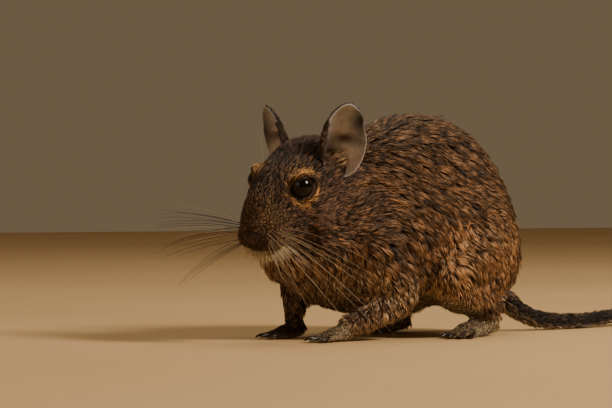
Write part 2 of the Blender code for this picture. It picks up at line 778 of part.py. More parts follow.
def ear_cup(head, side, name, collection):
    """A thin egg-shaped cup, deepest low down, that opens forwards and outwards."""
    at, opens, long_way, height, width, depth = EARS[name]
    opens = Vector(opens).normalized()
    long_way = Vector(long_way)
    long_way = (long_way - opens * long_way.dot(opens)).normalized()
    wide_way = long_way.cross(opens)
    bm = bmesh.new()
    bmesh.ops.create_uvsphere(bm, u_segments=30, v_segments=12, radius=1)
    bmesh.ops.delete(bm, geom=[v for v in bm.verts if v.co.z > 1e-4], context="VERTS")
    for vertex in bm.verts:
        x, y, z = vertex.co
        reach = 1 - (1 - ear_edge(x * side, y)) * (1 - z * z)
        local = Vector(at) + wide_way * (x * reach * width / 2) + long_way * (y * reach * height / 2)
        vertex.co = head @ ((local + opens * (z * depth * (1 - 0.25 * y))) * MM)
    bmesh.ops.recalc_face_normals(bm, faces=bm.faces)
    cup = object_from(bm, f"ear_{name}", collection)
    wall = cup.modifiers.new("Wall", "SOLIDIFY")
    wall.thickness = EAR_WALL * MM
    wall.offset = 0
    applied(cup)
    bm = bmesh.new()
    bm.from_mesh(cup.data)
    bmesh.ops.recalc_face_normals(bm, faces=bm.faces)
    bm.to_mesh(cup.data)
    bm.free()
    return cup


def lock(root, way, side_way, length, width, name, collection):
    """A flat tapered lock that leaves its root at a slant and bends along the tail."""
    rings = []
    shares = (0, 0.3, 0.6, 0.85, 1.0)
    widths = (0.7, 1.0, 0.8, 0.45, 0.16)
    thick_way = way.cross(side_way).normalized()
    for share, spread in zip(shares, widths):
        centre = root + way * length * share
        across = side_way * width * spread / 2
        through = thick_way * LOCK_THICK * max(spread, 0.5) / 2
        rings.append([(centre + p) * MM for p in (across, through, -across, -through)])
    return loft(rings, name, collection)


def brush_locks(collection):
    """The black brush round the end of the tail, in locks that lengthen towards its tip."""
    draw = random.Random(SEED)
    path = smooth_rows([(*point, radius) for point, radius in TAIL[-4:]], 10)
    made = []
    golden = math.pi * (3 - math.sqrt(5))
    for i in range(BRUSH_LOCKS):
        share = BRUSH_FROM + (1 - BRUSH_FROM) * (i + 0.5) / BRUSH_LOCKS
        index = min(int(share * (len(path) - 1)), len(path) - 2)
        centre, following = Vector(path[index][:3]), Vector(path[index + 1][:3])
        along = (following - centre).normalized()
        level = along.cross(Vector((0, 0, 1))).normalized()
        upright = level.cross(along)
        turn = i * golden
        out = level * math.cos(turn) + upright * math.sin(turn)
        length = BRUSH_LENGTH[0] + (BRUSH_LENGTH[1] - BRUSH_LENGTH[0]) * share
        length *= draw.uniform(0.9, 1.1)
        slant = draw.uniform(*LOCK_SLANT)
        way = (along + out * slant).normalized()
        root = centre + out * path[index][3] * 0.55 - way * 0.5
        lowest = (root + way * length).z
        if lowest < LOCK_CLEAR:
            way = (way + Vector((0, 0, (LOCK_CLEAR - lowest) / length))).normalized()
        side_way = way.cross(out).normalized()
        made.append(lock(root, way, side_way, length, LOCK_WIDTH, f"lock_{i:02d}", collection))
    return made


def material_of(finish):
    name, colour, roughness = finish
    material = bpy.data.materials.get(name) or bpy.data.materials.new(name)
    material.use_nodes = True
    shader = material.node_tree.nodes["Principled BSDF"]
    shader.inputs["Base Color"].default_value = (*colour, 1)
    shader.inputs["Roughness"].default_value = roughness
    shader.inputs["Metallic"].default_value = 0.0
    return material


def finish_node(obj, finish, collection):
    """Puts a finished node in the model's collection with its material."""
    for other in list(obj.users_collection):
        other.objects.unlink(obj)
    collection.objects.link(obj)
    obj.data.materials.clear()
    obj.data.materials.append(material_of(finish))
    obj.data.shade_smooth()
    obj.data.set_sharp_from_angle(angle=math.radians(45))


def plane(at, towards):
    return Vector(at) * MM, Vector(towards).normalized()


def flipped(cut):
    return cut[0], -cut[1]


def build():
    clear_scene()
    model = new_collection("Degu")
    work = new_collection("Work")
    head = head_frame()
    flesh = whole_flesh(work)
    forward = head.to_3x3() @ Vector((1, 0, 0))
    muzzle_cut = (head @ millimetres(MUZZLE_CUT, 0, 0), forward)
    head_cut = (head @ millimetres(HEAD_CUT, 0, 0), forward)
    jaw_cut = (head @ millimetres(0, 0, JAW_CUT), head.to_3x3() @ Vector((0, 0, -1)))
    neck_cut = plane(NECK_CUT_AT, NECK_CUT_TOWARDS)
    tail_cuts = []
    for x in TAIL_CUTS:
        path = smooth_rows([point for point, radius in TAIL], 8)
        index = min(range(len(path)), key=lambda i: abs(path[i][0] - x))
        tail_cuts.append(plane(path[index], Vector(path[index + 1]) - Vector(path[index - 1])))
    floor = floor_plane()

    nodes = {}

    def take(name, planes, size, finish):
        nodes[name] = (part_off(flesh, planes, TRIANGLES[size], name, work), finish)
        return nodes[name][0]

    muzzle = take("muzzle", [flipped(muzzle_cut), jaw_cut], "muzzle", COAT)
    skull = take("head", [muzzle_cut, flipped(head_cut), jaw_cut, flipped(neck_cut)], "head", COAT)
    take("neck", [head_cut, flipped(neck_cut), jaw_cut], "neck", COAT)
    throat = take("throat", [flipped(jaw_cut), flipped(neck_cut)], "throat", COAT)
    torso = take("torso", [neck_cut, tail_cuts[0]], "torso", COAT)
    take("tail_base", [flipped(tail_cuts[0]), tail_cuts[1], floor], "tail_base", COAT)
    take("tail_middle", [flipped(tail_cuts[1]), tail_cuts[2], floor], "tail_middle", BRUSH)
    tail_end = take("tail_end", [flipped(tail_cuts[2])], "tail_end", BRUSH)
    fore_boxes, hind_boxes = [], []
    for name, side in SIDES:
        wrist = plane(WRIST_CUT[name], WRIST_TOWARDS[name])
        ankle = plane(ANKLE_CUT[name], ANKLE_TOWARDS)
        fore_box, hind_box = box_planes(FORELEG_BOX[name]), box_planes(HINDLEG_BOX[name])
        take(f"foreleg_{name}", [*fore_box, wrist], "foreleg", COAT)
        take(f"forepaw_{name}", [*fore_box, flipped(wrist), floor], "forepaw", PALE_COAT)
        take(f"hindleg_{name}", [*hind_box, ankle], "hindleg", COAT)
        take(f"hindfoot_{name}", [*hind_box, flipped(ankle), floor], "hindfoot", PALE_COAT)
        fore_boxes.append(box_cutter(FORELEG_BOX[name], HALF_GAP, f"fore_box_{name}", work))
        hind_boxes.append(box_cutter(HINDLEG_BOX[name], HALF_GAP, f"hind_box_{name}", work))
    cut_with(torso, fore_boxes + hind_boxes)
    cut_with(throat, fore_boxes)

    carve_mouth(muzzle, head, work)
    fuse(muzzle, whiskers(muzzle, head, work), "whiskers")
    fuse(tail_end, brush_locks(work), "brush")

    sockets = []
    for name, side in SIDES:
        radii = (EYE_RADIUS,) * 3
        eye = ball(side_of(EYE_AT, side), radii, head, f"eye_{name}", work, segments=20)
        nodes[f"eye_{name}"] = (eye, EYE_WET)
        socket_radii = (EYE_RADIUS + GAP / MM,) * 3
        sockets.append(ball(side_of(EYE_AT, side), socket_radii, head, f"socket_{name}", work, segments=24))
    cut_with(skull, sockets)
    swollen = [grown_copy(nodes[n][0], GAP, f"swollen_{n}", work) for n in ("head", "neck")]
    for name, side in SIDES:
        ear = ear_cup(head, side, name, work)
        cut_with(ear, swollen)
        nodes[f"ear_{name}"] = (ear, EAR_SKIN)

    for obj, finish in nodes.values():
        finish_node(obj, finish, model)
    for obj in list(work.objects):
        bpy.data.objects.remove(obj, do_unlink=True)
    bpy.data.collections.remove(work)
    stand_on_origin(model)


def stand_on_origin(model):
    """Moves the whole model so that the middle of its box stands on the origin, through one parent."""
    corners = [v.co for obj in model.objects for v in obj.data.vertices]
    middle = Vector(
        (
            -(min(c.x for c in corners) + max(c.x for c in corners)) / 2,
            -(min(c.y for c in corners) + max(c.y for c in corners)) / 2,
            0,
        )
    )
    root = bpy.data.objects.new("degu", None)
    root.location = middle
    for obj in list(model.objects):
        obj.parent = root
    model.objects.link(root)
    bpy.context.view_layer.update()


build()
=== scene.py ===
# %% [markdown]
# A degu with its coat on.
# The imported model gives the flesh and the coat's outline as plain solids.
# This lesson puts one skin under that outline and grows a coat of small solid tufts on it.
# Eyes, lids, nose, ears, whiskers and claws are then modelled as pieces of their own.

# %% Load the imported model
import math
from types import SimpleNamespace

import bmesh
import bpy
import numpy as np
from mathutils import Matrix, Vector
from mathutils.bvhtree import BVHTree
from mathutils.kdtree import KDTree


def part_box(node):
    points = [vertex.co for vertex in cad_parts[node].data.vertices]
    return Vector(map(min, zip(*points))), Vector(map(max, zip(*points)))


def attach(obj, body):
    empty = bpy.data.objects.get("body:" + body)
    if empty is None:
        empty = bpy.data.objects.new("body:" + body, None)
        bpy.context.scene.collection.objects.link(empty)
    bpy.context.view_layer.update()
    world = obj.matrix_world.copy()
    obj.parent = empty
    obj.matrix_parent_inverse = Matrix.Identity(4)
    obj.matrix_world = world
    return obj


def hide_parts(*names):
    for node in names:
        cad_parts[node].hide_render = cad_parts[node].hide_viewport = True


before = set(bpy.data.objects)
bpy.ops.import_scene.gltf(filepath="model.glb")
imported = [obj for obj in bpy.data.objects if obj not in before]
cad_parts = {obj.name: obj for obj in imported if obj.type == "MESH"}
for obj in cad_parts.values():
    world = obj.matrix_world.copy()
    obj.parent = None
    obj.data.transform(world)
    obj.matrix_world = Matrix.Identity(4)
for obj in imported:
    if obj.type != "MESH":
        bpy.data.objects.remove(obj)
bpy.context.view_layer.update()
MM = 0.001
draw = np.random.default_rng(11)

# %% [markdown]
# The camera stands low on the animal's left and looks level, as a person lying on the floor would.
# A long lens from 0.9 m keeps the muzzle and the rump in proportion.
# The numbers were found by laying the model over the picture.

# %% The camera
EYES = {side: sum(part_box(f"eye_{side}"), Vector()) / 2 for side in ("left", "right")}
YAW, PITCH, ROLL = math.radians(15.3), math.radians(28.0), math.radians(8.3)
HEAD_AT = Vector((-68.5, -10.6, 61.5)) * MM
EYE_AHEAD, EYE_UP = -0.2 * MM, 0.4 * MM


def head_axes():
    """The head's own directions in the body's: to the nose, to the left and to the crown."""
    flat = Vector((-math.cos(YAW), -math.sin(YAW), 0))
    level = Vector((math.sin(YAW), -math.cos(YAW), 0))
    up = Vector((0, 0, 1))
    forward = flat * math.cos(PITCH) - up * math.sin(PITCH)
    raised = flat * math.sin(PITCH) + up * math.cos(PITCH)
    left = level * math.cos(ROLL) - raised * math.sin(ROLL)
    crown = raised * math.cos(ROLL) + level * math.sin(ROLL)
    return forward, left, crown


FORWARD, LEFT, CROWN = head_axes()
HEAD_AXES = np.array([FORWARD, LEFT, CROWN])
HEAD = (EYES["left"] + EYES["right"]) / 2 - FORWARD * EYE_AHEAD - CROWN * EYE_UP
SHIFT = HEAD - HEAD_AT
VIEW_TURN = math.radians(-35.0)
VIEW_FROM = Vector((-549.1, -714.1, 54.0)) * MM + SHIFT

bpy.ops.object.camera_add(location=VIEW_FROM, rotation=(math.radians(90), 0, VIEW_TURN))
camera = bpy.context.object
camera.name = "camera"
camera.data.sensor_width = 36.0
camera.data.lens = 129.1
bpy.context.scene.camera = camera
print("shift of the pose from its origin, mm", [round(c / MM, 2) for c in SHIFT])

# %% [markdown]
# Small functions are shared by every finish.
# Colours are written as sRGB hex, which is what an eye or a paint chart gives.
# One function turns them to the linear values that a shader takes.

# %% Colours
def linear(code):
    """An sRGB hex colour as the linear red, green, blue and alpha that a shader takes."""
    parts = [int(code[i:i + 2], 16) / 255 for i in (1, 3, 5)]
    return [c / 12.92 if c <= 0.04045 else ((c + 0.055) / 1.055) ** 2.4 for c in parts] + [1.0]


print("middle grey as linear", round(linear("#808080")[0], 3))

# %% [markdown]
# A finish is a tree of nodes, and one function adds a node, sets its fields and joins its sockets.
# A Mix node has several inputs of one name, so its two colours are called by number, 6 and 7.
# Its mixed colour is output 2.

# %% Nodes and finishes
def join(tree, node, sockets):
    """Sets a node's inputs, each to a value or by a link from a (node, output) pair."""
    for name, value in sockets.items():
        if isinstance(value, tuple) and isinstance(value[0], bpy.types.Node):
            tree.links.new(value[0].outputs[value[1]], node.inputs[name])
        else:
            node.inputs[name].default_value = value


def add(tree, kind, sockets=(), stops=(), **settings):
    """Adds a node with its settings and links; stops are the (place, colour) pairs of a colour ramp."""
    node = tree.nodes.new(kind)
    for name, value in settings.items():
        setattr(node, name, value)
    join(tree, node, dict(sockets))
    if stops:
        elements = node.color_ramp.elements
        while len(elements) < len(stops):
            elements.new(0.5)
        for element, (place, colour) in zip(elements, stops):
            element.position = place
            element.color = colour
    return node


def finish_named(name, **surface):
    """A new material with its Principled shader's own sockets set."""
    material = bpy.data.materials.new(name)
    material.use_nodes = True
    shader = material.node_tree.nodes["Principled BSDF"]
    for socket, value in surface.items():
        shader.inputs[socket.replace("_", " ")].default_value = value
    return material, material.node_tree, shader


def mottled(name, scale, shades, **surface):
    """A finish whose colour wanders between two shades; scale is the number of its grains in a metre."""
    material, tree, shader = finish_named(name, **surface)
    place = add(tree, "ShaderNodeTexCoord")
    grain = add(tree, "ShaderNodeTexNoise", {"Vector": (place, "Object"), "Scale": scale, "Detail": 2.0})
    tint = add(tree, "ShaderNodeValToRGB", {"Fac": (grain, "Fac")}, shades)
    join(tree, shader, {"Base Color": (tint, "Color")})
    return material


# %% [markdown]
# The light is a broad, warm softbox from the right of the camera.
# It leaves the face in half shade, and a weak fill from the left keeps the shade open.
# A third softbox hangs overhead, and all three point at the middle of the animal.

# %% Lights
AWAY = Vector((-math.sin(VIEW_TURN), math.cos(VIEW_TURN), 0))
RIGHT = Vector((math.cos(VIEW_TURN), math.sin(VIEW_TURN), 0))
BODY_MIDDLE = Vector((0, 0, 45 * MM))


def softbox(name, place, power, size, colour):
    """An area light that faces the middle of the animal."""
    bpy.ops.object.light_add(type="AREA", location=place)
    light = bpy.context.object
    light.name = name
    light.rotation_euler = (BODY_MIDDLE - place).to_track_quat("-Z", "Y").to_euler()
    light.data.energy = power
    light.data.size = size
    light.data.color = linear(colour)[:3]


softbox("key", -AWAY * 0.55 + RIGHT * 1.05 + Vector((0, 0, 0.95)), 23, 0.40, "#fff2e2")
softbox("fill", -AWAY * 1.1 - RIGHT * 0.75 + Vector((0, 0, 0.55)), 2.2, 0.8, "#ffe9d0")
softbox("top", AWAY * 0.25 + RIGHT * 0.10 + Vector((0, 0, 1.2)), 4, 0.8, "#fff2e0")

# %% [markdown]
# The floor is a plain pale board under a plain, dim room.
# Matt board throws soft, even light back up, and its mottle is wide and hardly seen, three grains a metre.

# %% Floor and room
def only(piece):
    """Selects one object and makes it the active one."""
    bpy.ops.object.select_all(action="DESELECT")
    piece.select_set(True)
    bpy.context.view_layer.objects.active = piece


def edit_all(piece, operator, **settings):
    """Runs one operator of edit mode on the whole mesh of an object."""
    only(piece)
    bpy.ops.object.mode_set(mode="EDIT")
    bpy.ops.mesh.select_all(action="SELECT")
    operator(**settings)
    bpy.ops.object.mode_set(mode="OBJECT")


bpy.ops.mesh.primitive_plane_add(size=6, location=(0, 0, 0))
floor = bpy.context.object
floor.name = "floor"
edit_all(floor, bpy.ops.mesh.subdivide, number_cuts=1)
shades = ((0.3, linear("#d0ab74")), (0.7, linear("#d9b681")))
floor.data.materials.append(mottled("pale_matt_board", 3.0, shades, Roughness=0.7))

world = bpy.data.worlds.new("room")
bpy.context.scene.world = world
world.use_nodes = True
join(world.node_tree, world.node_tree.nodes["Background"], {"Color": linear("#b39a78"), "Strength": 0.34})
print("floor faces", len(floor.data.polygons))

# %% [markdown]
# The skin is one closed surface from the muzzle to the tail, so that no seam of the solids shows.
# It could be sculpted anew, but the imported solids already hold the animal's form.
# So they are copied, grown a little until their gaps close, joined, and remeshed as one surface.

# %% Copies of the flesh
SIDES = ("left", "right")
FLESH = ["head", "muzzle", "neck", "throat", "torso", "tail_base"]
FLESH += [f"{part}_{side}" for part in ("foreleg", "forepaw", "hindleg", "hindfoot") for side in SIDES]
MERGE = 0.002 * MM


def bare_copy(node):
    """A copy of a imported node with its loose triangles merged."""
    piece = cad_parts[node].copy()
    piece.data = piece.data.copy()
    piece.parent = None
    for key in list(piece.keys()):
        del piece[key]
    bpy.context.scene.collection.objects.link(piece)
    edit_all(piece, bpy.ops.mesh.remove_doubles, threshold=MERGE)
    return piece


copies = [bare_copy(node) for node in FLESH]
print("copies", len(copies))

# %% [markdown]
# The solids' coarse whiskers are thin, so a ray through the muzzle finds them.
# They are cut off here, and finer ones are made later.

# %% The coarse whiskers are cut off
WHISKER_THICK = 0.85 * MM
WHISKERS_BESIDE = 5.5 * MM


def drop_small(bm):
    """Keeps only the largest connected part of a mesh."""
    left_over = set(bm.verts)
    largest = set()
    while left_over:
        front = [left_over.pop()]
        part = set(front)
        while front:
            vertex = front.pop()
            for edge in vertex.link_edges:
                other = edge.other_vert(vertex)
                if other in left_over:
                    left_over.discard(other)
                    part.add(other)
                    front.append(other)
        if len(part) > len(largest):
            largest = part
    bmesh.ops.delete(bm, geom=[v for v in bm.verts if v not in largest], context="VERTS")


def cut_off_thin(piece):
    """Takes away the thin whiskers beside the muzzle, and closes the holes that they leave."""
    bm = bmesh.new()
    bm.from_mesh(piece.data)
    bm.normal_update()
    tree = BVHTree.FromBMesh(bm)
    thin = []
    for vertex in bm.verts:
        hit = tree.ray_cast(vertex.co - vertex.normal * 0.02 * MM, -vertex.normal)
        beside = abs((vertex.co - HEAD).dot(LEFT)) > WHISKERS_BESIDE
        if beside and hit[0] is not None and (hit[0] - vertex.co).length < WHISKER_THICK:
            thin.append(vertex)
    bmesh.ops.delete(bm, geom=thin, context="VERTS")
    drop_small(bm)
    bmesh.ops.holes_fill(bm, edges=[e for e in bm.edges if e.is_boundary], sides=0)
    bm.to_mesh(piece.data)
    bm.free()
    return len(thin)


thin_points = cut_off_thin(copies[FLESH.index("muzzle")])
print("points of whiskers cut off", thin_points)

# %% [markdown]
# The tail's brush hides a thin tapering core, so the skin there is a plain tube along the tail's own line.
# Each row below is a place on that line and the radius there, in the pose's own millimetres.
# The same tube function draws the whiskers and the claws later.

# %% The tail's core
TAIL = (
    (42, 0, 23, 6.5), (52, -0.5, 14.5, 5.0), (61, -1.2, 8.2, 4.1), (73, -1.8, 4.4, 3.6),
    (90, -1.5, 3.4, 3.45), (106, 0.5, 3.8, 3.2), (124, 4, 5, 2.9), (142, 8.5, 5.6, 2.6),
    (158, 13, 5.4, 2.3), (170, 16.5, 4.9, 1.9),
)


def smooth_rows(rows, steps):
    """Rows of numbers joined by a smooth curve, with steps points for each gap."""
    rows = np.array(rows, float)
    padded = np.vstack([2 * rows[0] - rows[1], rows, 2 * rows[-1] - rows[-2]])
    out = []
    for i in range(1, len(rows)):
        a, b, c, d = padded[i - 1:i + 3]
        for t in np.arange(steps) / steps:
            first, second, third = c - a, 2 * a - 5 * b + 4 * c - d, 3 * b - a - 3 * c + d
            out.append(0.5 * (2 * b + first * t + second * t**2 + third * t**3))
    out.append(rows[-1])
    return np.array(out)


def tube(points, radii, sides):
    """Vertices and triangles of a closed tube whose rings don't twist."""
    points = np.asarray(points, float)
    along = np.gradient(points, axis=0)
    along /= np.linalg.norm(along, axis=1)[:, None]
    across = np.cross(along[0], [0.31, 0.52, 0.79])
    rings = []
    for point, way, radius in zip(points, along, radii):
        across = across - way * across.dot(way)
        across /= np.linalg.norm(across)
        other = np.cross(way, across)
        turns = np.arange(sides) / sides * 2 * np.pi
        rings.append(point + radius * (np.cos(turns)[:, None] * across + np.sin(turns)[:, None] * other))
    count = len(points)
    vertices = np.vstack(rings + [points[:1], points[-1:]])
    ring = np.arange(sides)
    after = (ring + 1) % sides
    triangles = []
    for i in range(count - 1):
        low, high = i * sides, (i + 1) * sides
        triangles.append(np.stack([low + ring, low + after, high + after], 1))
        triangles.append(np.stack([low + ring, high + after, high + ring], 1))
    start, end = count * sides, count * sides + 1
    last = (count - 1) * sides
    triangles.append(np.stack([after, ring, np.full(sides, start)], 1))
    triangles.append(np.stack([last + ring, last + after, np.full(sides, end)], 1))
    return vertices, np.vstack(triangles)


# %% [markdown]
# Arrays of points and triangles are made an object by one function, which the tail and every tuft use.

# %% The tail's tube joins the copies
def mesh_from(name, vertices, triangles):
    """A new object from arrays of points and triangles."""
    mesh = bpy.data.meshes.new(name)
    mesh.vertices.add(len(vertices))
    mesh.vertices.foreach_set("co", np.asarray(vertices, np.float32).ravel())
    mesh.loops.add(len(triangles) * 3)
    mesh.loops.foreach_set("vertex_index", np.asarray(triangles, np.int32).ravel())
    mesh.polygons.add(len(triangles))
    mesh.polygons.foreach_set("loop_start", np.arange(0, len(triangles) * 3, 3, dtype=np.int32))
    mesh.update(calc_edges=True)
    piece = bpy.data.objects.new(name, mesh)
    bpy.context.scene.collection.objects.link(piece)
    return piece


tail_rows = smooth_rows(TAIL, 6)
TAIL_LINE = tail_rows[:, :3] * MM + np.array(SHIFT)
tail_tube = mesh_from("tail_core", *tube(TAIL_LINE, tail_rows[:, 3] * MM, 20))
copies.append(tail_tube)
print("tail core, mm", round(float(np.linalg.norm(np.diff(TAIL_LINE, axis=0), axis=1).sum()) / MM, 1))

# %% [markdown]
# The copies are joined and pushed out until their gaps close, and a voxel remesh fuses them.
# Its voxels are 0.75 mm wide, which keeps the toes and the lids.
# A light smoothing then takes their steps away.

# %% One surface
GROW = 0.3 * MM
VOXEL = 0.75 * MM
bpy.ops.object.select_all(action="DESELECT")
for piece in copies:
    piece.select_set(True)
bpy.context.view_layer.objects.active = copies[0]
bpy.ops.object.join()
skin = bpy.context.object
skin.name = "skin"
skin.data.name = "skin"
skin.data.materials.clear()


def apply_modifier(piece, kind, **settings):
    """Adds a modifier, sets it and applies it."""
    only(piece)
    modifier = piece.modifiers.new("step", kind)
    for name, value in settings.items():
        setattr(modifier, name, value)
    bpy.ops.object.modifier_apply(modifier="step")


apply_modifier(skin, "DISPLACE", strength=GROW, mid_level=0.0)
apply_modifier(skin, "REMESH", mode="VOXEL", voxel_size=VOXEL)
apply_modifier(skin, "SMOOTH", factor=0.5, iterations=4)
apply_modifier(skin, "TRIANGULATE")
bm = bmesh.new()
bm.from_mesh(skin.data)
drop_small(bm)
bm.to_mesh(skin.data)
bm.free()
print("skin triangles", len(skin.data.polygons))

# %% [markdown]
# From here on the skin is worked on as arrays, which is far quicker than point by point.

# %% Points and normals of a mesh
def points_of(mesh):
    """A mesh's points and its triangles as arrays."""
    points = np.empty(len(mesh.vertices) * 3, np.float32)
    mesh.vertices.foreach_get("co", points)
    corners = np.empty(len(mesh.loops), np.int32)
    mesh.loops.foreach_get("vertex_index", corners)
    return points.reshape(-1, 3).astype(float), corners.reshape(-1, 3)


def set_points(piece, places):
    """Moves an object's points to new places."""
    piece.data.vertices.foreach_set("co", np.asarray(places, np.float32).ravel())
    piece.data.update()


def normals_of(points, triangles):
    """Unit normals at the points, weighted by the area of the faces around them."""
    a, b, c = (points[triangles[:, i]] for i in range(3))
    face = np.cross(b - a, c - a)
    total = np.zeros_like(points)
    for i in range(3):
        for axis in range(3):
            total[:, axis] += np.bincount(triangles[:, i], face[:, axis], len(points))
    return total / np.maximum(np.linalg.norm(total, axis=1), 1e-20)[:, None]


points, triangles = points_of(skin.data)
print("skin points", len(points))

# %% [markdown]
# Everything that grows on the skin needs to know where it is on the body.
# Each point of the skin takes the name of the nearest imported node.
# A value for each node, such as the length of the coat, is then spread over the skin.
# It is averaged with its neighbours' until it changes smoothly.

# %% Which part of the body
PARTS = [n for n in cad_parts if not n.startswith(("eye_", "ear_"))]
finder = KDTree(sum(len(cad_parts[n].data.vertices) for n in PARTS))
label_of = []
for number, node in enumerate(PARTS):
    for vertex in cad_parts[node].data.vertices:
        finder.insert(vertex.co, len(label_of))
        label_of.append(number)
finder.balance()
label = np.array([label_of[finder.find(p)[1]] for p in points.tolist()])
is_head = np.isin(PARTS, ["head", "muzzle"])[label]
counts = {PARTS[i]: int(n) for i, n in enumerate(np.bincount(label, minlength=len(PARTS)))}
print("points of skin by part", counts)

# %% [markdown]
# To spread a value, each point takes more than half of it from its neighbours, over and over.
# The list of neighbours comes from the edges, so it is made once.

# %% Values spread over the skin
edges = np.vstack([triangles[:, [0, 1]], triangles[:, [1, 2]], triangles[:, [2, 0]]])
ends_a = np.concatenate([edges[:, 0], edges[:, 1]])
ends_b = np.concatenate([edges[:, 1], edges[:, 0]])
degree = np.bincount(ends_a, minlength=len(points)).astype(float)


def spread(values, rounds):
    """Averages values with their neighbours' over and over."""
    values = np.array(values, float)
    flat = values.reshape(len(values), -1)
    for _ in range(rounds):
        for column in range(flat.shape[1]):
            around = np.bincount(ends_a, flat[ends_b, column], len(flat)) / degree
            flat[:, column] = 0.4 * flat[:, column] + 0.6 * around
    return flat.reshape(values.shape)


def by_part(table, rounds=40):
    """A value for each part of the body, spread over the skin."""
    worth = [table[n] if n in table else table[n.rsplit("_", 1)[0]] for n in PARTS]
    return spread(np.array(worth, float)[label], rounds)


print("neighbours of a point, at most", int(degree.max()) // 2)

# %% [markdown]
# The marks and forms of the face are easier to place in the head's own directions.
# There ahead, left and up are counted in millimetres from a point between the eyes.
# The edge of the upper lip is a curve in that frame, and it turns down towards the mouth's corner.

# %% Places on the head
LIP_AHEAD, LIP_HEIGHT = (4, 8, 12, 16, 23), (-28, -26, -21.5, -19.2, -18.2)


def head_place(places):
    """Places in the head's own frame, in millimetres: ahead, left and up."""
    away = (places - np.array(HEAD)) / MM
    return away @ HEAD_AXES.T


def from_head(ahead, left, up):
    """A place in the head's own millimetres as a place in the model."""
    return HEAD + (FORWARD * ahead + LEFT * left + CROWN * up) * MM


def lip_edge(ahead):
    """How high the edge of the upper lip is in the head's frame."""
    return np.interp(ahead, LIP_AHEAD, LIP_HEIGHT)


def above_lip(local):
    """How far places in the head's frame lie above the edge of the upper lip."""
    return local[:, 2] - lip_edge(local[:, 0])


def halved(local):
    """Places in the head's frame with the right half laid on the left one."""
    return local * np.array((1, 0, 1)) + np.abs(local) * np.array((0, 1, 0))


def near(places, centre, reach):
    """1 at a centre and falling smoothly to 0 about reach away; reach may differ by axis."""
    return np.exp(-(((places - np.array(centre)) / np.array(reach)) ** 2).sum(1))


local = head_place(points)
print("the skin reaches", round(float(local[is_head, 0].max()), 1), "mm ahead of the eyes")

# %% [markdown]
# The coat has to stop at the lids and at the claws, so both are placed first.
# The opening between the lids is an oval with a drawn-out corner towards the nose.
# It is described by how far its edge lies from the middle of the eye at each turn round it.

# %% Where the lids are
SIGN = {"left": 1, "right": -1}
LOOK = {side: (FORWARD * 0.55 + LEFT * 0.82 * SIGN[side] + CROWN * 0.16).normalized() for side in SIDES}
LID_LONG, LID_SHORT = 5.1, 3.85
LID_CORNER, CORNER_WIDTH = 0.24, 0.30
FAR = 99.0


def eye_ways(side):
    """The way that an eye looks, the way to its front corner and the way to its upper lid."""
    look = LOOK[side]
    long_way = (FORWARD - look * FORWARD.dot(look)).normalized()
    short_way = look.cross(long_way)
    if short_way.dot(CROWN) < 0:
        short_way.negate()
    return look, long_way, short_way


def lid_reach(turn):
    """How far the edge of the lids is from the middle of the eye, in millimetres."""
    c, s = np.cos(turn), np.sin(turn)
    oval = LID_LONG * LID_SHORT / np.hypot(LID_SHORT * c, LID_LONG * s)
    return oval * (1 + LID_CORNER * np.exp(-(np.arctan2(s, c) / CORNER_WIDTH) ** 2))


def past_lids(places):
    """How far places lie outside the nearer lids, in millimetres, and their turn round that eye."""
    past = np.full(len(places), FAR)
    turns = np.zeros(len(places))
    for side in SIDES:
        away = (places - np.array(EYES[side])) / MM
        ahead, across, rise = (away @ np.array(way) for way in eye_ways(side))
        turn = np.arctan2(rise, across)
        beyond = np.where(ahead > -1.0, np.hypot(across, rise) - lid_reach(turn), FAR)
        nearer = beyond < past
        past[nearer], turns[nearer] = beyond[nearer], turn[nearer]
    return past, turns


print("lids reach, mm", LID_SHORT, "to", round(float(lid_reach(0.0)), 2))

# %% [markdown]
# A degu has four long toes on each forepaw and five on each hind foot, fanned out from the sole.
# Each is listed by where it leaves the foot, its length and its angle, in the foot's own millimetres.

# %% Where the toes are
FOREPAWS = {"left": ((-43.0, -17.0), 1.0), "right": ((-46.0, 12.0), -2.0)}
HINDFEET = {"left": ((28.0, -20.2), 21.0), "right": ((14.0, 20.2), -13.0)}
FORE_TOES = ((6.2, -3.0, 5.2, -16), (7.6, -1.1, 6.6, -5), (7.6, 1.2, 6.6, 6), (6.2, 3.1, 5.4, 18))
HIND_TOES = (
    (17.5, -4.0, 5.0, -24), (20.6, -2.6, 6.6, -10), (21.4, 0.0, 7.2, 0),
    (20.6, 2.6, 6.4, 10), (17.5, 4.0, 4.8, 22),
)
TOE_UP, TOE_HALF = 0.95, 2.2


def toe_tips():
    """Where each toe ends and which way it points."""
    found = []
    for feet, toes in ((FOREPAWS, FORE_TOES), (HINDFEET, HIND_TOES)):
        for (x0, y0), turn in feet.values():
            spin = Matrix.Rotation(math.pi + math.radians(turn), 3, "Z")
            for x, y, reach, angle in toes:
                way = Vector((math.cos(math.radians(angle)), math.sin(math.radians(angle)), 0))
                tip = Vector((x0, y0, 0)) + spin @ (Vector((x, y, TOE_UP)) + way * reach)
                found.append((tip * MM + SHIFT, spin @ way))
    return found


TOES = toe_tips()


def past_toes(places):
    """How far places lie past the tip of the toe that they are on, in millimetres."""
    past = np.full(len(places), -FAR)
    for tip, way in TOES:
        away = (places - np.array(tip)) / MM
        along = away @ np.array(way)
        beside = np.linalg.norm(away - along[:, None] * np.array(way), axis=1)
        past = np.where((beside < TOE_HALF) & (along > -4) & (along < 5), np.maximum(past, along), past)
    return past


print("toes", len(TOES))

# %% [markdown]
# A degu's coat is longest on the rump and back, short on the face, and shortest on the nose and feet.
# Its hairs lie flat, so the coat is only about a quarter as deep as the hairs are long.
# The skin is drawn inwards by that depth, so that the tips of the coat reach the outline of the solids.
# The muzzle is also drawn in from the front, because the picture's profile is a little shorter.

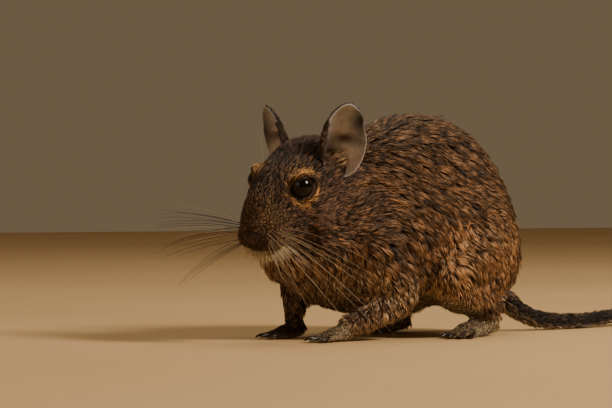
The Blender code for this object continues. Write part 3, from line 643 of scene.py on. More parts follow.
# %% How long the coat is, and how deep
LENGTH = {
    "torso": 7.6, "neck": 6.8, "throat": 6.4, "head": 5.4, "muzzle": 2.4, "foreleg": 4.8, "hindleg": 6.2,
    "forepaw": 1.7, "hindfoot": 2.0, "tail_base": 4.2, "tail_middle": 4.4, "tail_end": 4.6,
}
DEPTH_SHARE = 0.25
SNUB = 1.7
FLOOR_GAP = 0.05 * MM
length = by_part(LENGTH)
eye_places = {side: head_place(np.array([EYES[side]]))[0] for side in SIDES}
EYE_RADIUS = (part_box("eye_left")[1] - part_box("eye_left")[0]).x / 2 / MM
around_eyes = sum(near(local, eye_places[side], (8.5, 7.5, 8.0)) for side in SIDES).clip(0, 1)
snout = np.clip((local[:, 0] - 4) / 16, 0, 1) * is_head
length = length * (1 - 0.64 * around_eyes) * (1 - 0.45 * snout)
on_toes = past_toes(points)
length = np.where(on_toes > -2.5, length * 0.6, length)
normals = normals_of(points, triangles)
depth = spread(length * DEPTH_SHARE, 10) * MM
points = points - normals * (GROW + depth)[:, None]
points = points + 0.5 * (spread(points, 3) - points)
points[:, 2] = np.maximum(points[:, 2], 3 * FLOOR_GAP)
drawn_in = SNUB * np.clip((local[:, 0] - 13) / 9, 0, 1) * is_head
points -= drawn_in[:, None] * MM * np.array(FORWARD)
normals = normals_of(points, triangles)
print("coat length, mm", round(length.min(), 2), "to", round(length.max(), 2))
print("coat depth to, mm", round(depth.max() / MM, 2))

# %% [markdown]
# The solids' claws are drawn back into the toes, because finer ones are added later.
# The skin under the lids is tucked inside the eyeball, so that it doesn't cover the eye.

# %% Room for the claws and the eyes
TUCKED = 4.6
for tip, way in TOES:
    away = points - np.array(tip)
    along = away @ np.array(way)
    beside = np.linalg.norm(away - along[:, None] * np.array(way), axis=1)
    claw = (along > 0) & (along < 5.5 * MM) & (beside < TOE_HALF * MM)
    points[claw] -= along[claw, None] * 0.85 * np.array(way)
past_edge, lid_turn = past_lids(points)
for side in SIDES:
    away = points - np.array(EYES[side])
    distance = np.linalg.norm(away, axis=1)
    hidden = (past_edge < 0.5) & (distance < 9 * MM)
    inside = away / distance[:, None] * np.minimum(distance, TUCKED * MM)[:, None] + np.array(EYES[side])
    points[hidden] = inside[hidden]
set_points(skin, points)
print("points tucked under the last pair of lids", int(hidden.sum()))

# %% [markdown]
# The lie of the coat is a direction at every point of the skin.
# On the head it runs back from the nose, and on the body back and down.
# It runs down on the legs, and to the toes on the feet.
# One direction for each part is laid along the surface and spread, so that it turns smoothly.
# Round the eyes whatever would point into the eye is taken away, so that no hair crosses the lids.

# %% The lie of the coat
LIE = {
    "torso": (0.78, 0, -0.62), "neck": (0.85, 0, -0.5), "throat": (0.55, 0, -0.8),
    "head": (0, 0, 0), "muzzle": (0, 0, 0),
    "foreleg": (0.15, 0, -1.0), "hindleg": (0.5, 0, -0.86),
    "forepaw": (-1, 0, -0.25), "hindfoot": (-1, 0, -0.2),
    "tail_base": (1, 0, -0.3), "tail_middle": (1, 0, 0), "tail_end": (1, 0.25, 0),
}
COMBED_FROM = np.array((25.5, 0, -11.5))
EYE_CLEAR, EYE_PUSH = 12, 1.6
lie = by_part(LIE, 0)
from_nose = local - COMBED_FROM
from_nose = from_nose / np.linalg.norm(from_nose, axis=1)[:, None] + np.array((0, 0, -0.12))
lie[is_head] = (from_nose @ HEAD_AXES)[is_head]


def along_surface(ways, across):
    """Directions laid flat on the surface and made one long."""
    ways = ways - across * (ways * across).sum(1)[:, None]
    return ways / np.maximum(np.linalg.norm(ways, axis=1), 1e-9)[:, None]


for _ in range(4):
    for side in SIDES:
        inwards = np.array(EYES[side]) - points
        distance = np.linalg.norm(inwards, axis=1)
        inwards /= distance[:, None]
        close = np.clip((EYE_CLEAR - distance / MM) / 4, 0, 1)
        push = close * (lie * inwards).sum(1).clip(0, None) * EYE_PUSH
        lie = lie - inwards * push[:, None]
    lie = along_surface(spread(lie, 10), normals)
print("lie worked out at", len(lie), "points")

# %% [markdown]
# The agouti coat is a mix of black-brown hairs and hairs with a tan to rufous band.
# It is darker along the back, warmer on the rump and legs, and buff below.
# The face has a tan ring round each eye, a tan patch above it and cream lips. Painted shade darkens the
# forehead and the gap below each ear.
# The far foreleg and forepaw are painted darker than the near ones, as painted shade from the body.
# Skin and coat both read these colours from the same places, so that the markings agree.

# %% Markings
TONE = {
    "torso": "#987453", "neck": "#a37955", "throat": "#8a6c50", "head": "#6f4f3a", "muzzle": "#80613f",
    "foreleg": "#c9a784", "hindleg": "#c1966c", "forepaw": "#cbb48f", "hindfoot": "#cfb892",
    # The far foreleg and forepaw carry painted shade: darker colours for the body's shade on them.
    "foreleg_right": "#8f735a", "forepaw_right": "#5f4c3b",
    "tail_base": "#473729", "tail_middle": "#2b211a", "tail_end": "#1d1713",
}
DARK = {
    "torso": 0.50, "neck": 0.52, "throat": 0.42, "head": 0.64, "muzzle": 0.46,
    "foreleg": 0.38, "hindleg": 0.38, "forepaw": 0.08, "hindfoot": 0.08,
    # The larger share of dark hairs on the far foreleg and forepaw is painted shade too.
    "foreleg_right": 0.5, "forepaw_right": 0.5,
    "tail_base": 0.75, "tail_middle": 0.75, "tail_end": 0.85,
}
tone = by_part({n: linear(c)[:3] for n, c in TONE.items()}, 25)
dark = by_part(DARK, 25)


def paint(weight, colour, share_dark):
    """Mixes a marking into the coat where weight is high."""
    global tone, dark
    weight = np.clip(weight, 0, 1)
    tone = tone * (1 - weight[:, None]) + np.array(linear(colour)[:3]) * weight[:, None]
    dark = dark * (1 - weight) + share_dark * weight


under = np.clip((-normals[:, 2] - 0.15) * 1.6, 0, 1)
paint(under * (~is_head) * 0.8, "#ae9880", 0.2)
paint(np.clip((normals[:, 2] - 0.25) * 1.4, 0, 1) * (~is_head) * 0.6, "#6f5339", 0.6)
print("mean share of dark hairs before the markings", round(float(dark.mean()), 2))

# %% [markdown]
# The markings of the face are soft spots and bands, laid on the left half and the right half alike.
# Each lightens or darkens both the colour of the hairs and the share of dark ones.

# %% Markings of the face
mirrored = halved(local)
ring = np.exp(-((past_edge - 1.6) / 1.1) ** 2) * (0.12 + 0.88 * np.abs(np.sin(lid_turn - 0.25)))
paint(ring * is_head * 1.2, "#c89450", 0.03)
paint(near(mirrored, (2.0, 6.8, 7.4), (5.0, 2.6, 2.6)) * is_head * 0.6, "#b0834c", 0.15)
paint(near(mirrored, (22.5, 0.0, -13.0), (5.0, 5.5, 4.6)) * is_head * 0.9, "#2b1a14", 0.8)
over_lip = above_lip(local)
in_front = np.clip((local[:, 0] + 1) / 5, 0, 1) * np.clip(1 - normals @ np.array(CROWN), 0, 1)
paint(np.exp(-((over_lip + 4.5) / 3.4) ** 2) * in_front, "#b08a62", 0.12)
lip_front = in_front * is_head * np.clip((local[:, 0] - 13) / 5, 0, 1)
paint(np.exp(-((over_lip - 0.2) / 0.9) ** 2) * lip_front, "#cdb998", 0.03)
# Painted shade darkens the forehead and crown.
paint(near(mirrored, (-4, 3, 9), (14, 8, 6)) * is_head * 0.6, "#4d3a2c", 0.74)
MARKS_AND_SHADE_BY_EARS = (
    ((-21, 13, 2.0), (4.0, 4.0, 4.5), 0.7, "#c08a50", 0.15),
    # This dark spot is painted shade in the gap below the ear.
    ((-17, 14.5, -2.5), (2.6, 3.0, 2.6), 0.8, "#2a1a12", 0.9),
    ((-23.5, 17.8, -9.8), (3.6, 3.5, 2.0), 0.9, "#c8945a", 0.08),
)
for centre, reach, most, colour, share_dark in MARKS_AND_SHADE_BY_EARS:
    paint(near(mirrored, centre, reach) * most, colour, share_dark)
print("points on the ring round the eyes", int((ring > 0.5).sum()))

# %% [markdown]
# The shoulders have a tan patch and the fur ends dark at the claws. The dark patch at each ankle is painted
# shade, and the skin inside the lids is painted near black, as dark bare skin and as painted shade round the
# eyeball.

# %% Markings of the legs, painted shade at the ankles, and the edges of the coat
SHOULDERS = (-47, -26, 42), (-47, 26, 42)
SHADED_ANKLES = (20, -27, 11), (6, 27, 11)
on_legs = (points - np.array(SHIFT)) / MM
for shoulder in SHOULDERS:
    paint(near(on_legs, shoulder, (14, 14, 18)) * 0.45, "#c0946a", 0.36)
# Painted shade darkens each ankle just above the foot.
for shaded_ankle in SHADED_ANKLES:
    paint(near(on_legs, shaded_ankle, (6, 5, 4)) * 0.75, "#2e1f14", 0.7)
paint(np.clip(past_toes(points) / 0.6 + 0.5, 0, 1), "#20150e", 0.9)
LID_BARE = 0.9
# Inside the lids the skin is painted near black: dark bare skin, and painted shade in the gap round the
# eyeball.
paint(np.clip((LID_BARE - past_edge) / 0.4, 0, 1), "#140c08", 1.0)
print("markings painted; mean share of dark hairs", round(float(dark.mean()), 2))

# %% [markdown]
# Skin under fur is hardly seen, but it closes the gaps between the tufts.
# It carries the markings, darker, with a fine grain like the roots of hairs.
# The real grain is finer than the render's pixels, so it is drawn at about 0.4 mm, which is 2,500 a metre.

# %% The skin's finish
def give_values(mesh, name, kind, values):
    """Stores a value for every point of a mesh, for its material to read."""
    layer = mesh.attributes.new(name, kind, "POINT")
    if kind == "FLOAT_COLOR":
        values = np.hstack([values, np.ones((len(values), 1))])
        layer.data.foreach_set("color", values.astype(np.float32).ravel())
    else:
        layer.data.foreach_set("value", values.astype(np.float32).ravel())


give_values(skin.data, "tone", "FLOAT_COLOR", tone * (1 - 0.75 * dark[:, None]))
skin_finish, tree, shader = finish_named("furred_skin", Roughness=0.75, Specular_IOR_Level=0.25)
place = add(tree, "ShaderNodeTexCoord")
tint = add(tree, "ShaderNodeAttribute", attribute_name="tone")
grain = add(tree, "ShaderNodeTexNoise", {"Vector": (place, "Object"), "Scale": 2500.0, "Detail": 3.0})
shades = ((0.35, (0.22, 0.22, 0.22, 1)), (0.7, (0.75, 0.75, 0.75, 1)))
depths = add(tree, "ShaderNodeValToRGB", {"Fac": (grain, "Fac")}, shades)
sources = {"Factor": 1.0, 6: (tint, "Color"), 7: (depths, "Color")}
colour = add(tree, "ShaderNodeMix", sources, data_type="RGBA", blend_type="MULTIPLY")
bump = add(tree, "ShaderNodeBump", {"Height": (grain, "Fac"), "Strength": 0.6, "Distance": 0.3 * MM})
join(tree, shader, {"Base Color": (colour, 2), "Normal": (bump, "Normal")})
skin.data.materials.append(skin_finish)
skin.data.polygons.foreach_set("use_smooth", np.ones(len(skin.data.polygons), bool))
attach(skin, "root")
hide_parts(*FLESH)
print("the skin replaces", len(FLESH), "nodes of flesh")

# %% [markdown]
# A tuft is a closed three-sided blade of ten triangles: a root ring, a ring near its middle, and a tip.
# It leaves the skin at a slant and bends until it lies almost flat.
# Neighbouring tufts lean to a shared tip, which gives the coat its pointed locks with dark gaps between them.
# Each tuft keeps how far along it a point is.
# So one soft, half matt finish can draw dark roots, a tan band and dark tips.

# %% The coat's finish
coat_finish, tree, shader = finish_named("agouti_fur", Roughness=0.55, Specular_IOR_Level=0.35)
tint = add(tree, "ShaderNodeAttribute", attribute_name="tone")
along = add(tree, "ShaderNodeAttribute", attribute_name="along")
tip = add(tree, "ShaderNodeAttribute", attribute_name="tip")
ROOTS = ((0.10, (0.13, 0.12, 0.12, 1)), (0.62, (1, 1, 1, 1)))
TIPS = ((0.72, (0, 0, 0, 1)), (0.98, (1, 1, 1, 1)))
rise = add(tree, "ShaderNodeValToRGB", {"Fac": (along, "Fac")}, ROOTS)
sources = {"Factor": 1.0, 6: (tint, "Color"), 7: (rise, "Color")}
banded = add(tree, "ShaderNodeMix", sources, data_type="RGBA", blend_type="MULTIPLY")
fall = add(tree, "ShaderNodeValToRGB", {"Fac": (along, "Fac")}, TIPS)
share = add(tree, "ShaderNodeMath", {0: (fall, "Color"), 1: (tip, "Fac")}, operation="MULTIPLY")
sources = {"Factor": (share, "Value"), 6: (banded, 2), 7: linear("#1d120b")}
whole = add(tree, "ShaderNodeMix", sources, data_type="RGBA")
join(tree, shader, {"Base Color": (whole, 2)})
print("materials", [material.name for material in bpy.data.materials])

# %% [markdown]
# Every tuft needs its own place on the bake's map, or the exported coat would lose its colours.
# The ground under a region is unwrapped, and each tuft lies on that map as one tiny flat shape.

# %% Places on the bake's map
UV_SIZE = 0.0015
TUFT_SHAPE = ((-1, -1), (0, -1), (1, -1), (-0.8, 0), (0, 0), (0.8, 0), (0, 1))


def region_map(ground, faces):
    """An unwrap of one region of the surface's own shape, one place for each corner of its triangles."""
    used, corners = np.unique(ground.triangles[faces], return_inverse=True)
    patch = mesh_from("patch", ground.points[used], corners.reshape(-1, 3))
    edit_all(patch, bpy.ops.uv.smart_project, angle_limit=math.radians(66), island_margin=0.002)
    places = np.empty(len(patch.data.loops) * 2, np.float32)
    patch.data.uv_layers.active.data.foreach_get("uv", places)
    mesh = patch.data
    bpy.data.objects.remove(patch)
    bpy.data.meshes.remove(mesh)
    return places.reshape(-1, 3, 2).astype(float)


def lay_on_map(piece, places, shape, tris):
    """Lays each tuft on the map as a small flat shape at its own place."""
    corners = (places[:, None] + np.array(shape)[None] * UV_SIZE).reshape(-1, 2)[tris.ravel()]
    layer = piece.data.uv_layers.new(name="OFBake")
    layer.data.foreach_set("uv", corners.astype(np.float32).ravel())


# %% [markdown]
# A tuft is bent by turning its direction, and its lie wanders a little over the body, as combed fur does.
# Its blade is built from rings of three points, so that it is closed and has thickness from every side.

# %% Directions, and the shape of a tuft
def unit(ways):
    """Directions made one long."""
    return ways / np.maximum(np.linalg.norm(ways, axis=1), 1e-12)[:, None]


def turned(ways, axes, angles):
    """Directions turned about axes square to them."""
    return ways * np.cos(angles)[:, None] + np.cross(axes, ways) * np.sin(angles)[:, None]


def wave(places, size):
    """A slow, smooth swing over the body, from -1 to 1, that makes the coat's lie wander."""
    x, y, z = (places / (size * MM)).T
    swings = np.sin(x + 1.7 * np.sin(z * 0.8)) + np.sin(1.3 * z + y + 2.1) + np.sin(0.7 * y - 1.1 * x + 0.5)
    return swings / 3


def blades(rings, sides, ups, widths):
    """Closed three-sided blades: rings are centres root to tip, and the last ring is one point."""
    count = len(rings[0])
    parts = []
    for centre, width in zip(rings[:-1], widths):
        half = width[:, None] / 2
        parts += [centre - sides * half, centre + ups * half * 0.8, centre + sides * half]
    parts.append(rings[-1])
    vertices = np.stack(parts, 1)
    per = vertices.shape[1]
    levels = len(rings) - 1
    pattern = [(0, 2, 1)]
    for level in range(levels - 1):
        low, high = level * 3, level * 3 + 3
        for i in range(3):
            j = (i + 1) % 3
            pattern += [(low + i, low + j, high + j), (low + i, high + j, high + i)]
    low, point = (levels - 1) * 3, per - 1
    pattern += [(low + i, low + (i + 1) % 3, point) for i in range(3)]
    faces = np.array(pattern)[None] + (np.arange(count) * per)[:, None, None]
    return vertices.reshape(-1, 3), faces.reshape(-1, 3), per


# %% [markdown]
# Tufts stand at random on a region's triangles, more of them on larger ones, so the coat is evenly thick.
# None stands on the lids, the nose or the claws.
# Leaders are picked among them, and every tuft leans to the tip of the nearest leader.

# %% Where tufts stand
NOSE_AT, NOSE_RADII = (23.8 - SNUB, 0.0, -11.0), (2.8, 4.3, 3.4)
NOSE_BARE = 0.96


def bare(places):
    """Whether places are on the lids, the nose or the claws, where no fur grows."""
    pad = (head_place(places) - np.array(NOSE_AT)) / (np.array(NOSE_RADII) * NOSE_BARE)
    return (past_lids(places)[0] < LID_BARE) | (np.linalg.norm(pad, axis=1) < 1) | (past_toes(places) > -0.4)


def scatter(ground, faces, density):
    """Random places on triangles of a surface: the triangles, the share of each corner, and the area."""
    corner = ground.points[ground.triangles[faces]]
    twice = np.cross(corner[:, 1] - corner[:, 0], corner[:, 2] - corner[:, 0])
    area = np.linalg.norm(twice, axis=1) / 2 / MM**2
    count = int(area.sum() * density)
    chosen = draw.choice(len(faces), count, p=area / area.sum())
    u, v = draw.random(count), draw.random(count)
    fold = u + v > 1
    u[fold], v[fold] = 1 - u[fold], 1 - v[fold]
    share = np.stack([1 - u - v, u, v], 1)
    keep = ~bare((corner[chosen] * share[:, :, None]).sum(1))
    return chosen[keep], share[keep], area.sum()


def clumps_of(root, wanted):
    """Picks the leaders of the clumps, and the clump of each tuft: the one whose leader is nearest."""
    leaders = draw.choice(len(root), max(4, wanted), replace=False)
    finder = KDTree(len(leaders))
    for number, leader in enumerate(leaders):
        finder.insert(root[leader], number)
    finder.balance()
    return leaders, np.array([finder.find(place)[1] for place in root.tolist()])


# %% [markdown]
# The black and the banded hairs of agouti fur stand mixed, and neighbours in one clump are alike.
# So a share of the tufts is dark all over, and the others keep a pale band below a dark tip.
# Small random steps of light and warmth keep the coat from looking painted.

# %% Colours of the tufts
ALONG_TUFT = np.array([0, 0, 0, 0.5, 0.5, 0.5, 1.0])
WARMER = np.array((0.8, 0.1, -0.9))


def colour_tufts(piece, brown, share_dark, clump, clump_count, per):
    """Gives each tuft its colour, its way from root to tip, and how dark its tip is."""
    count = len(brown)
    is_dark = draw.random(count) < share_dark + draw.normal(0, 0.18, clump_count)[clump]
    light = np.exp(draw.normal(0, 0.22, count) + draw.normal(0, 0.20, clump_count)[clump])
    warm = draw.normal(0, 0.10, count)[:, None] * WARMER
    brown = brown * light[:, None] * (1 + warm)
    brown = np.where(is_dark[:, None], brown * 0.20 + 0.004, brown)
    tip_share = np.where(is_dark, 0.8, draw.uniform(0.1, 0.75, count)) * np.clip(share_dark * 2.2, 0.1, 1)
    give_values(piece.data, "tone", "FLOAT_COLOR", np.repeat(brown.clip(0, 1), per, 0))
    give_values(piece.data, "along", "FLOAT", np.tile(ALONG_TUFT, count))
    give_values(piece.data, "tip", "FLOAT", np.repeat(tip_share, per))


# %% [markdown]
# One function grows a region: it finds the roots, bends the tufts and draws them to shared tips.
# It could be Blender's own hair, but solid tufts can be exported and keep their look from every side.

# %% Growing a region of the coat
ROOT_SUNK = 0.25 * MM
LOWER, UPPER = 0.48, 0.52


def grow(name, ground, faces, density, clump, width, rise=(26, 5), pull=0.55, wander=0.3):
    """Grows one region as a joined mesh of tufts; density is tufts a square millimetre, clump its width."""
    chosen, share, area = scatter(ground, faces, density)
    count = len(chosen)

    def at(values):
        """Values of the ground at the root of each tuft."""
        corners = values[ground.triangles[faces[chosen]]]
        return (corners * (share if values.ndim == 1 else share[:, :, None])).sum(1)

    root, up = at(ground.points), unit(at(ground.normals))
    way = unit(along_surface(at(ground.lie), up))
    long = at(ground.length) * MM * draw.uniform(0.75, 1.12, count)
    leaders, mine = clumps_of(root, int(area / clump**2))
    lead = leaders[mine]
    swing = wave(root, 9.0) * wander + wave(root, 3.1) * wander * 0.5
    clump_turn = draw.normal(0, 0.13, len(leaders))[mine]
    clump_rise = draw.normal(0, 3.5, len(leaders))[mine]
    way = turned(way, up, swing + clump_turn + draw.normal(0, 0.07, count))
    steep = np.radians(rise[0] + clump_rise + draw.normal(0, 4, count))[:, None]
    flat = np.radians(rise[1] + clump_rise + draw.normal(0, 4, count))[:, None]
    middle = root + long[:, None] * LOWER * (way * np.cos(steep) + up * np.sin(steep))
    tips = middle + long[:, None] * UPPER * (way * np.cos(flat) + up * np.sin(flat))
    shared_tip = tips[lead] + draw.normal(0, 0.12, (count, 3)) * long[:, None] * 0.4
    middle = middle + (middle[lead] - middle) * pull * 0.35
    tips = tips + (shared_tip - tips) * pull
    start = root - up * ROOT_SUNK
    for ring in (middle, tips):
        ring[:, 2] = np.maximum(ring[:, 2], 2 * FLOOR_GAP)
    side = unit(np.cross(up, unit(tips - start)))
    wide = width * MM * draw.uniform(0.75, 1.2, count)
    vertices, tris, per = blades([start, middle, tips], side, up, [wide, wide * 0.85])
    vertices[:, 2] = np.maximum(vertices[:, 2], FLOOR_GAP)
    piece = mesh_from(name, vertices, tris)
    colour_tufts(piece, at(ground.tone), at(ground.dark), mine, len(leaders), per)
    places = (region_map(ground, faces)[chosen] * share[:, :, None]).sum(1)
    lay_on_map(piece, places, TUFT_SHAPE, tris)
    piece.data.materials.append(coat_finish)
    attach(piece, "root")
    print(name, "tufts", count, "triangles", len(tris))
    return len(tris)


# %% [markdown]
# The coat is grown region by region, so that each piece stays under 200,000 triangles.
# Tufts are finest and closest on the muzzle and the feet, and broadest on the body.
# The plan gives each piece its faces and its number of tufts a square millimetre.
# The last two numbers are the widths of a clump and of a tuft, in millimetres.

# %% The coat, region by region
body = SimpleNamespace(points=points, triangles=triangles, normals=normals)
body.lie, body.length, body.tone, body.dark = lie, length, tone, dark
face_part = label[triangles[:, 0]]
face_middle = points[triangles].mean(1)
face_left = head_place(face_middle)[:, 1] > 0


def faces_on(*nodes, where=None):
    """The skin's triangles on the named parts, and where a condition holds."""
    chosen = np.isin(face_part, [PARTS.index(n) for n in nodes])
    if where is not None:
        chosen &= where
    return np.nonzero(chosen)[0]


SHOULDERS_END = -38 * MM
left_half = face_middle[:, 1] < float(SHIFT.y)
front_half = face_middle[:, 0] < SHOULDERS_END
PAWS = [node for node in FLESH if node.startswith(("forepaw", "hindfoot"))]
PLAN = [
    ("coat_muzzle", faces_on("muzzle"), 10.0, 0.9, 0.26),
    ("coat_face_left", faces_on("head", where=face_left), 7.4, 1.2, 0.31),
    ("coat_face_right", faces_on("head", where=~face_left), 7.4, 1.2, 0.31),
    ("coat_neck", faces_on("neck", "throat"), 4.4, 2.0, 0.44),
    ("coat_shoulder_left", faces_on("torso", where=left_half & front_half), 3.4, 2.4, 0.50),
    ("coat_shoulder_right", faces_on("torso", where=~left_half & front_half), 3.4, 2.4, 0.50),
    ("coat_flank_left", faces_on("torso", where=left_half & ~front_half), 3.0, 2.6, 0.54),
    ("coat_flank_right", faces_on("torso", where=~left_half & ~front_half), 3.0, 2.6, 0.54),
    ("coat_forelegs", faces_on("foreleg_left", "foreleg_right"), 4.0, 1.9, 0.42),
    ("coat_thigh_left", faces_on("hindleg_left"), 3.2, 2.3, 0.50),
    ("coat_thigh_right", faces_on("hindleg_right"), 3.2, 2.3, 0.50),
    ("coat_feet", faces_on(*PAWS), 3.8, 0.9, 0.28),
    ("coat_tail", faces_on("tail_base", "tail_middle", "tail_end"), 4.0, 1.6, 0.40),
]
total = 0
for name, faces, density, clump, width in PLAN:
    total += grow(name, body, faces, density, clump, width)
print("coat triangles", total)

# %% [markdown]
# Cream hairs stand on the front of the upper lips and flare outwards and down.
# In front of each ear a fan of pale orange hairs points back over its opening.
# Both grow as the coat does, from the same skin with another lie, length and colour.

# %% Hairs of the lips
def other_fur(ground, lie, length, colour, share_dark):
    """The same ground with fur of another lie, length and colour."""
    other = SimpleNamespace(points=ground.points, triangles=ground.triangles, normals=ground.normals)
    other.lie, other.length = lie, length
    other.tone = np.tile(linear(colour)[:3], (len(ground.points), 1))
    other.dark = np.full(len(ground.points), share_dark)
    return other


MOUTH_MIDDLE = np.array((13.0, 0, 0))
middle_local = head_place(face_middle)
lip_band = np.interp(middle_local[:, 0], (15, 19), (0, 1.0))
on_lip = (np.abs(above_lip(middle_local) - 0.5) < lip_band) & (np.abs(middle_local[:, 1]) > 0.4)
lip_faces = faces_on("head", "muzzle", where=on_lip)
flare = unit((local - MOUTH_MIDDLE) * np.array((1, 1, 0))) @ HEAD_AXES
lip_length = np.interp(local[:, 0], (15, 23), (3.8, 4.8))
lips = other_fur(body, flare * 0.8 - np.array(CROWN) * 0.9, lip_length, "#f2e4c0", 0.04)
total += grow("coat_lips", lips, lip_faces, 5.0, 1.0, 0.14, rise=(46, 24), pull=0.25)
print("faces of the lips", len(lip_faces))

# %% [markdown]
# The fan stands on the skin just in front of the ear and is longer than the fur round it.

# %% Hairs before the ears
EAR_FRONT, FAN_REACH = (-18.4, 12.3, 2.2), (1.5, 3.4, 5.6)
before_ear = np.nonzero(near(halved(middle_local), EAR_FRONT, FAN_REACH) > 0.35)[0]
sideways = np.sign(local[:, 1:2]) * np.array(LEFT)
fan_lie = sideways * 0.50 - np.array(FORWARD) * 0.75 + np.array(CROWN) * 0.10
fan = other_fur(body, fan_lie, np.full(len(points), 7.6), "#e0bf92", 0.22)
total += grow("coat_before_ears", fan, before_ear, 3.0, 1.5, 0.20, rise=(46, 20), pull=0.75, wander=0.1)
print("faces before the ears", len(before_ear))

# %% [markdown]
# The brush at the end of the tail is coarse black hair that grows longer towards the tip.
# It points along the tail and has a dull shine.
# It could be a soft cone, but hairs that stand apart give the real ragged outline.
# They are the same blades as the coat's, grown from the tail's own line.

# %% The tail's brush
brush_finish, tree, shader = finish_named("black_brush_hair", Roughness=0.5, Specular_IOR_Level=0.35)
tint = add(tree, "ShaderNodeAttribute", attribute_name="tone")
join(tree, shader, {"Base Color": (tint, "Color")})
BRUSH_HAIRS = 7500
BRUSH_WIDE = 0.38 * MM
BRUSH_SHAPE = ((-1, -1), (-1, 0), (-1, 1), (0, -0.8), (0, 0), (0, 0.8), (1, 0))
tail_run = np.concatenate([[0], np.cumsum(np.linalg.norm(np.diff(TAIL_LINE, axis=0), axis=1))])
share = draw.uniform(0.30, 1.0, BRUSH_HAIRS) ** 0.8


def at_roots(rows):
    """Values of the tail's line at the root of each hair, one column for each of theirs."""
    return np.stack([np.interp(share * tail_run[-1], tail_run, column) for column in rows.T], 1)


spot = at_roots(TAIL_LINE)
radius = at_roots(tail_rows[:, 3:])[:, 0] * MM
ahead = unit(at_roots(np.gradient(TAIL_LINE, tail_run, axis=0)))
around = unit(np.cross(ahead, draw.normal(0, 1, (BRUSH_HAIRS, 3))))
fuller = ((share - 0.3) / 0.7) ** 1.3
long = (5.0 + 12.0 * fuller) * MM * draw.uniform(0.65, 1.08, BRUSH_HAIRS)
out = np.radians(draw.uniform(5, 16 + 12 * fuller))[:, None]
start = spot + around * (radius * 0.45)[:, None]
middle = start + long[:, None] * 0.5 * (ahead * np.cos(out) + around * np.sin(out))
tips = middle + long[:, None] * 0.5 * (ahead * np.cos(out * 0.3) + around * np.sin(out * 0.3))
side = unit(np.cross(around, ahead))
wide = np.full(BRUSH_HAIRS, BRUSH_WIDE)
vertices, tris, per = blades([start, middle, tips], side, around, [wide, wide * 0.9])
vertices[:, 2] = np.maximum(vertices[:, 2], FLOOR_GAP)

# %% [markdown]
# Single hairs of the brush differ a little in how black they are, so that it doesn't look like one dark lump.

# %% The brush as a piece
brush = mesh_from("tail_brush", vertices, tris)
black = np.array(linear("#1c140e")[:3]) * np.exp(draw.normal(0, 0.35, BRUSH_HAIRS))[:, None]
give_values(brush.data, "tone", "FLOAT_COLOR", np.repeat(black, per, 0))
angle = np.arctan2(around[:, 2], around[:, 1]) / (2 * np.pi) + 0.5
lay_on_map(brush, np.stack([0.02 + share * 0.96, 0.02 + angle * 0.96], 1), BRUSH_SHAPE, tris)
brush.data.materials.append(brush_finish)
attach(brush, "root")
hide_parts("tail_middle", "tail_end")
print("brush hairs", BRUSH_HAIRS, "triangles", len(tris))

# %% [markdown]
# A degu's eye is a large, wet, nearly black ball with a dark brown iris that shows only in strong light.
# It is a sphere set in the head, with a slightly fuller cornea in front.
# The finish is a smooth clear coat over dark colour, because the tear film gives the sharp highlight.

# %% Eyes
eye_finish, tree, shader = finish_named(
    "wet_eye", Roughness=0.4, Specular_IOR_Level=0.0, Coat_Weight=1.0, Coat_Roughness=0.02, Coat_IOR=1.34)
rim = add(tree, "ShaderNodeAttribute", attribute_name="rim")
PUPIL_TO_RIM = ((0.0, "#050303"), (0.42, "#080504"), (0.50, "#24150c"), (0.72, "#1c110a"), (0.84, "#070403"))
shades = [(place, linear(code)) for place, code in PUPIL_TO_RIM]
tint = add(tree, "ShaderNodeValToRGB", {"Fac": (rim, "Fac")}, shades)
join(tree, shader, {"Base Color": (tint, "Color")})
CORNEA, CORNEA_FROM = 0.035, 0.55
for side in SIDES:
    bpy.ops.object.select_all(action="DESELECT")
    bpy.ops.mesh.primitive_uv_sphere_add(
        segments=48, ring_count=32, radius=EYE_RADIUS * MM, location=EYES[side])
    eye = bpy.context.object
    bpy.ops.object.transform_apply(location=True, rotation=True, scale=True)
    eye.name = f"eyeball_{side}"
    ball = np.array([v.co for v in eye.data.vertices]) - np.array(EYES[side])
    facing = unit(ball) @ np.array(LOOK[side])
    fuller = 1 + CORNEA * np.clip((facing - CORNEA_FROM) / (1 - CORNEA_FROM), 0, 1) ** 2
    set_points(eye, ball * fuller[:, None] + np.array(EYES[side]))
    give_values(eye.data, "rim", "FLOAT", np.arccos(facing.clip(-1, 1)) / (np.pi / 2))
    bpy.ops.object.shade_smooth()
    eye.data.materials.append(eye_finish)
    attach(eye, "root")
    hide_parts(f"eye_{side}")
print("eye radius, mm", round(EYE_RADIUS, 2))

# %% [markdown]
# The lids are a narrow dark rim of bare skin that rolls over the eyeball.
# They have a drawn-out corner towards the nose, and a pale line on the wet margin of the lower lid is a
# painted reflection.
# Each is a ring whose section starts on the ball, swells over the rim and sinks into the furred skin.

# %% Lids
lid_finish, tree, shader = finish_named("bare_lid_skin", Roughness=0.42, Specular_IOR_Level=0.4)
place = add(tree, "ShaderNodeTexCoord")
grain = add(tree, "ShaderNodeTexNoise", {"Vector": (place, "Object"), "Scale": 1800.0, "Detail": 3.0})
shades = ((0.3, linear("#120a07")), (0.7, linear("#21140d")))
tint = add(tree, "ShaderNodeValToRGB", {"Fac": (grain, "Fac")}, shades)
# The pale colour mixed in here is a painted reflection along the wet margin of the lower lid.
painted_reflection = add(tree, "ShaderNodeAttribute", attribute_name="painted_reflection")
sources = {"Factor": (painted_reflection, "Fac"), 6: (tint, "Color"), 7: linear("#6a5a4e")}
whole = add(tree, "ShaderNodeMix", sources, data_type="RGBA")
bump = add(tree, "ShaderNodeBump", {"Height": (grain, "Fac"), "Strength": 0.4, "Distance": 0.1 * MM})
join(tree, shader, {"Base Color": (whole, 2), "Normal": (bump, "Normal")})

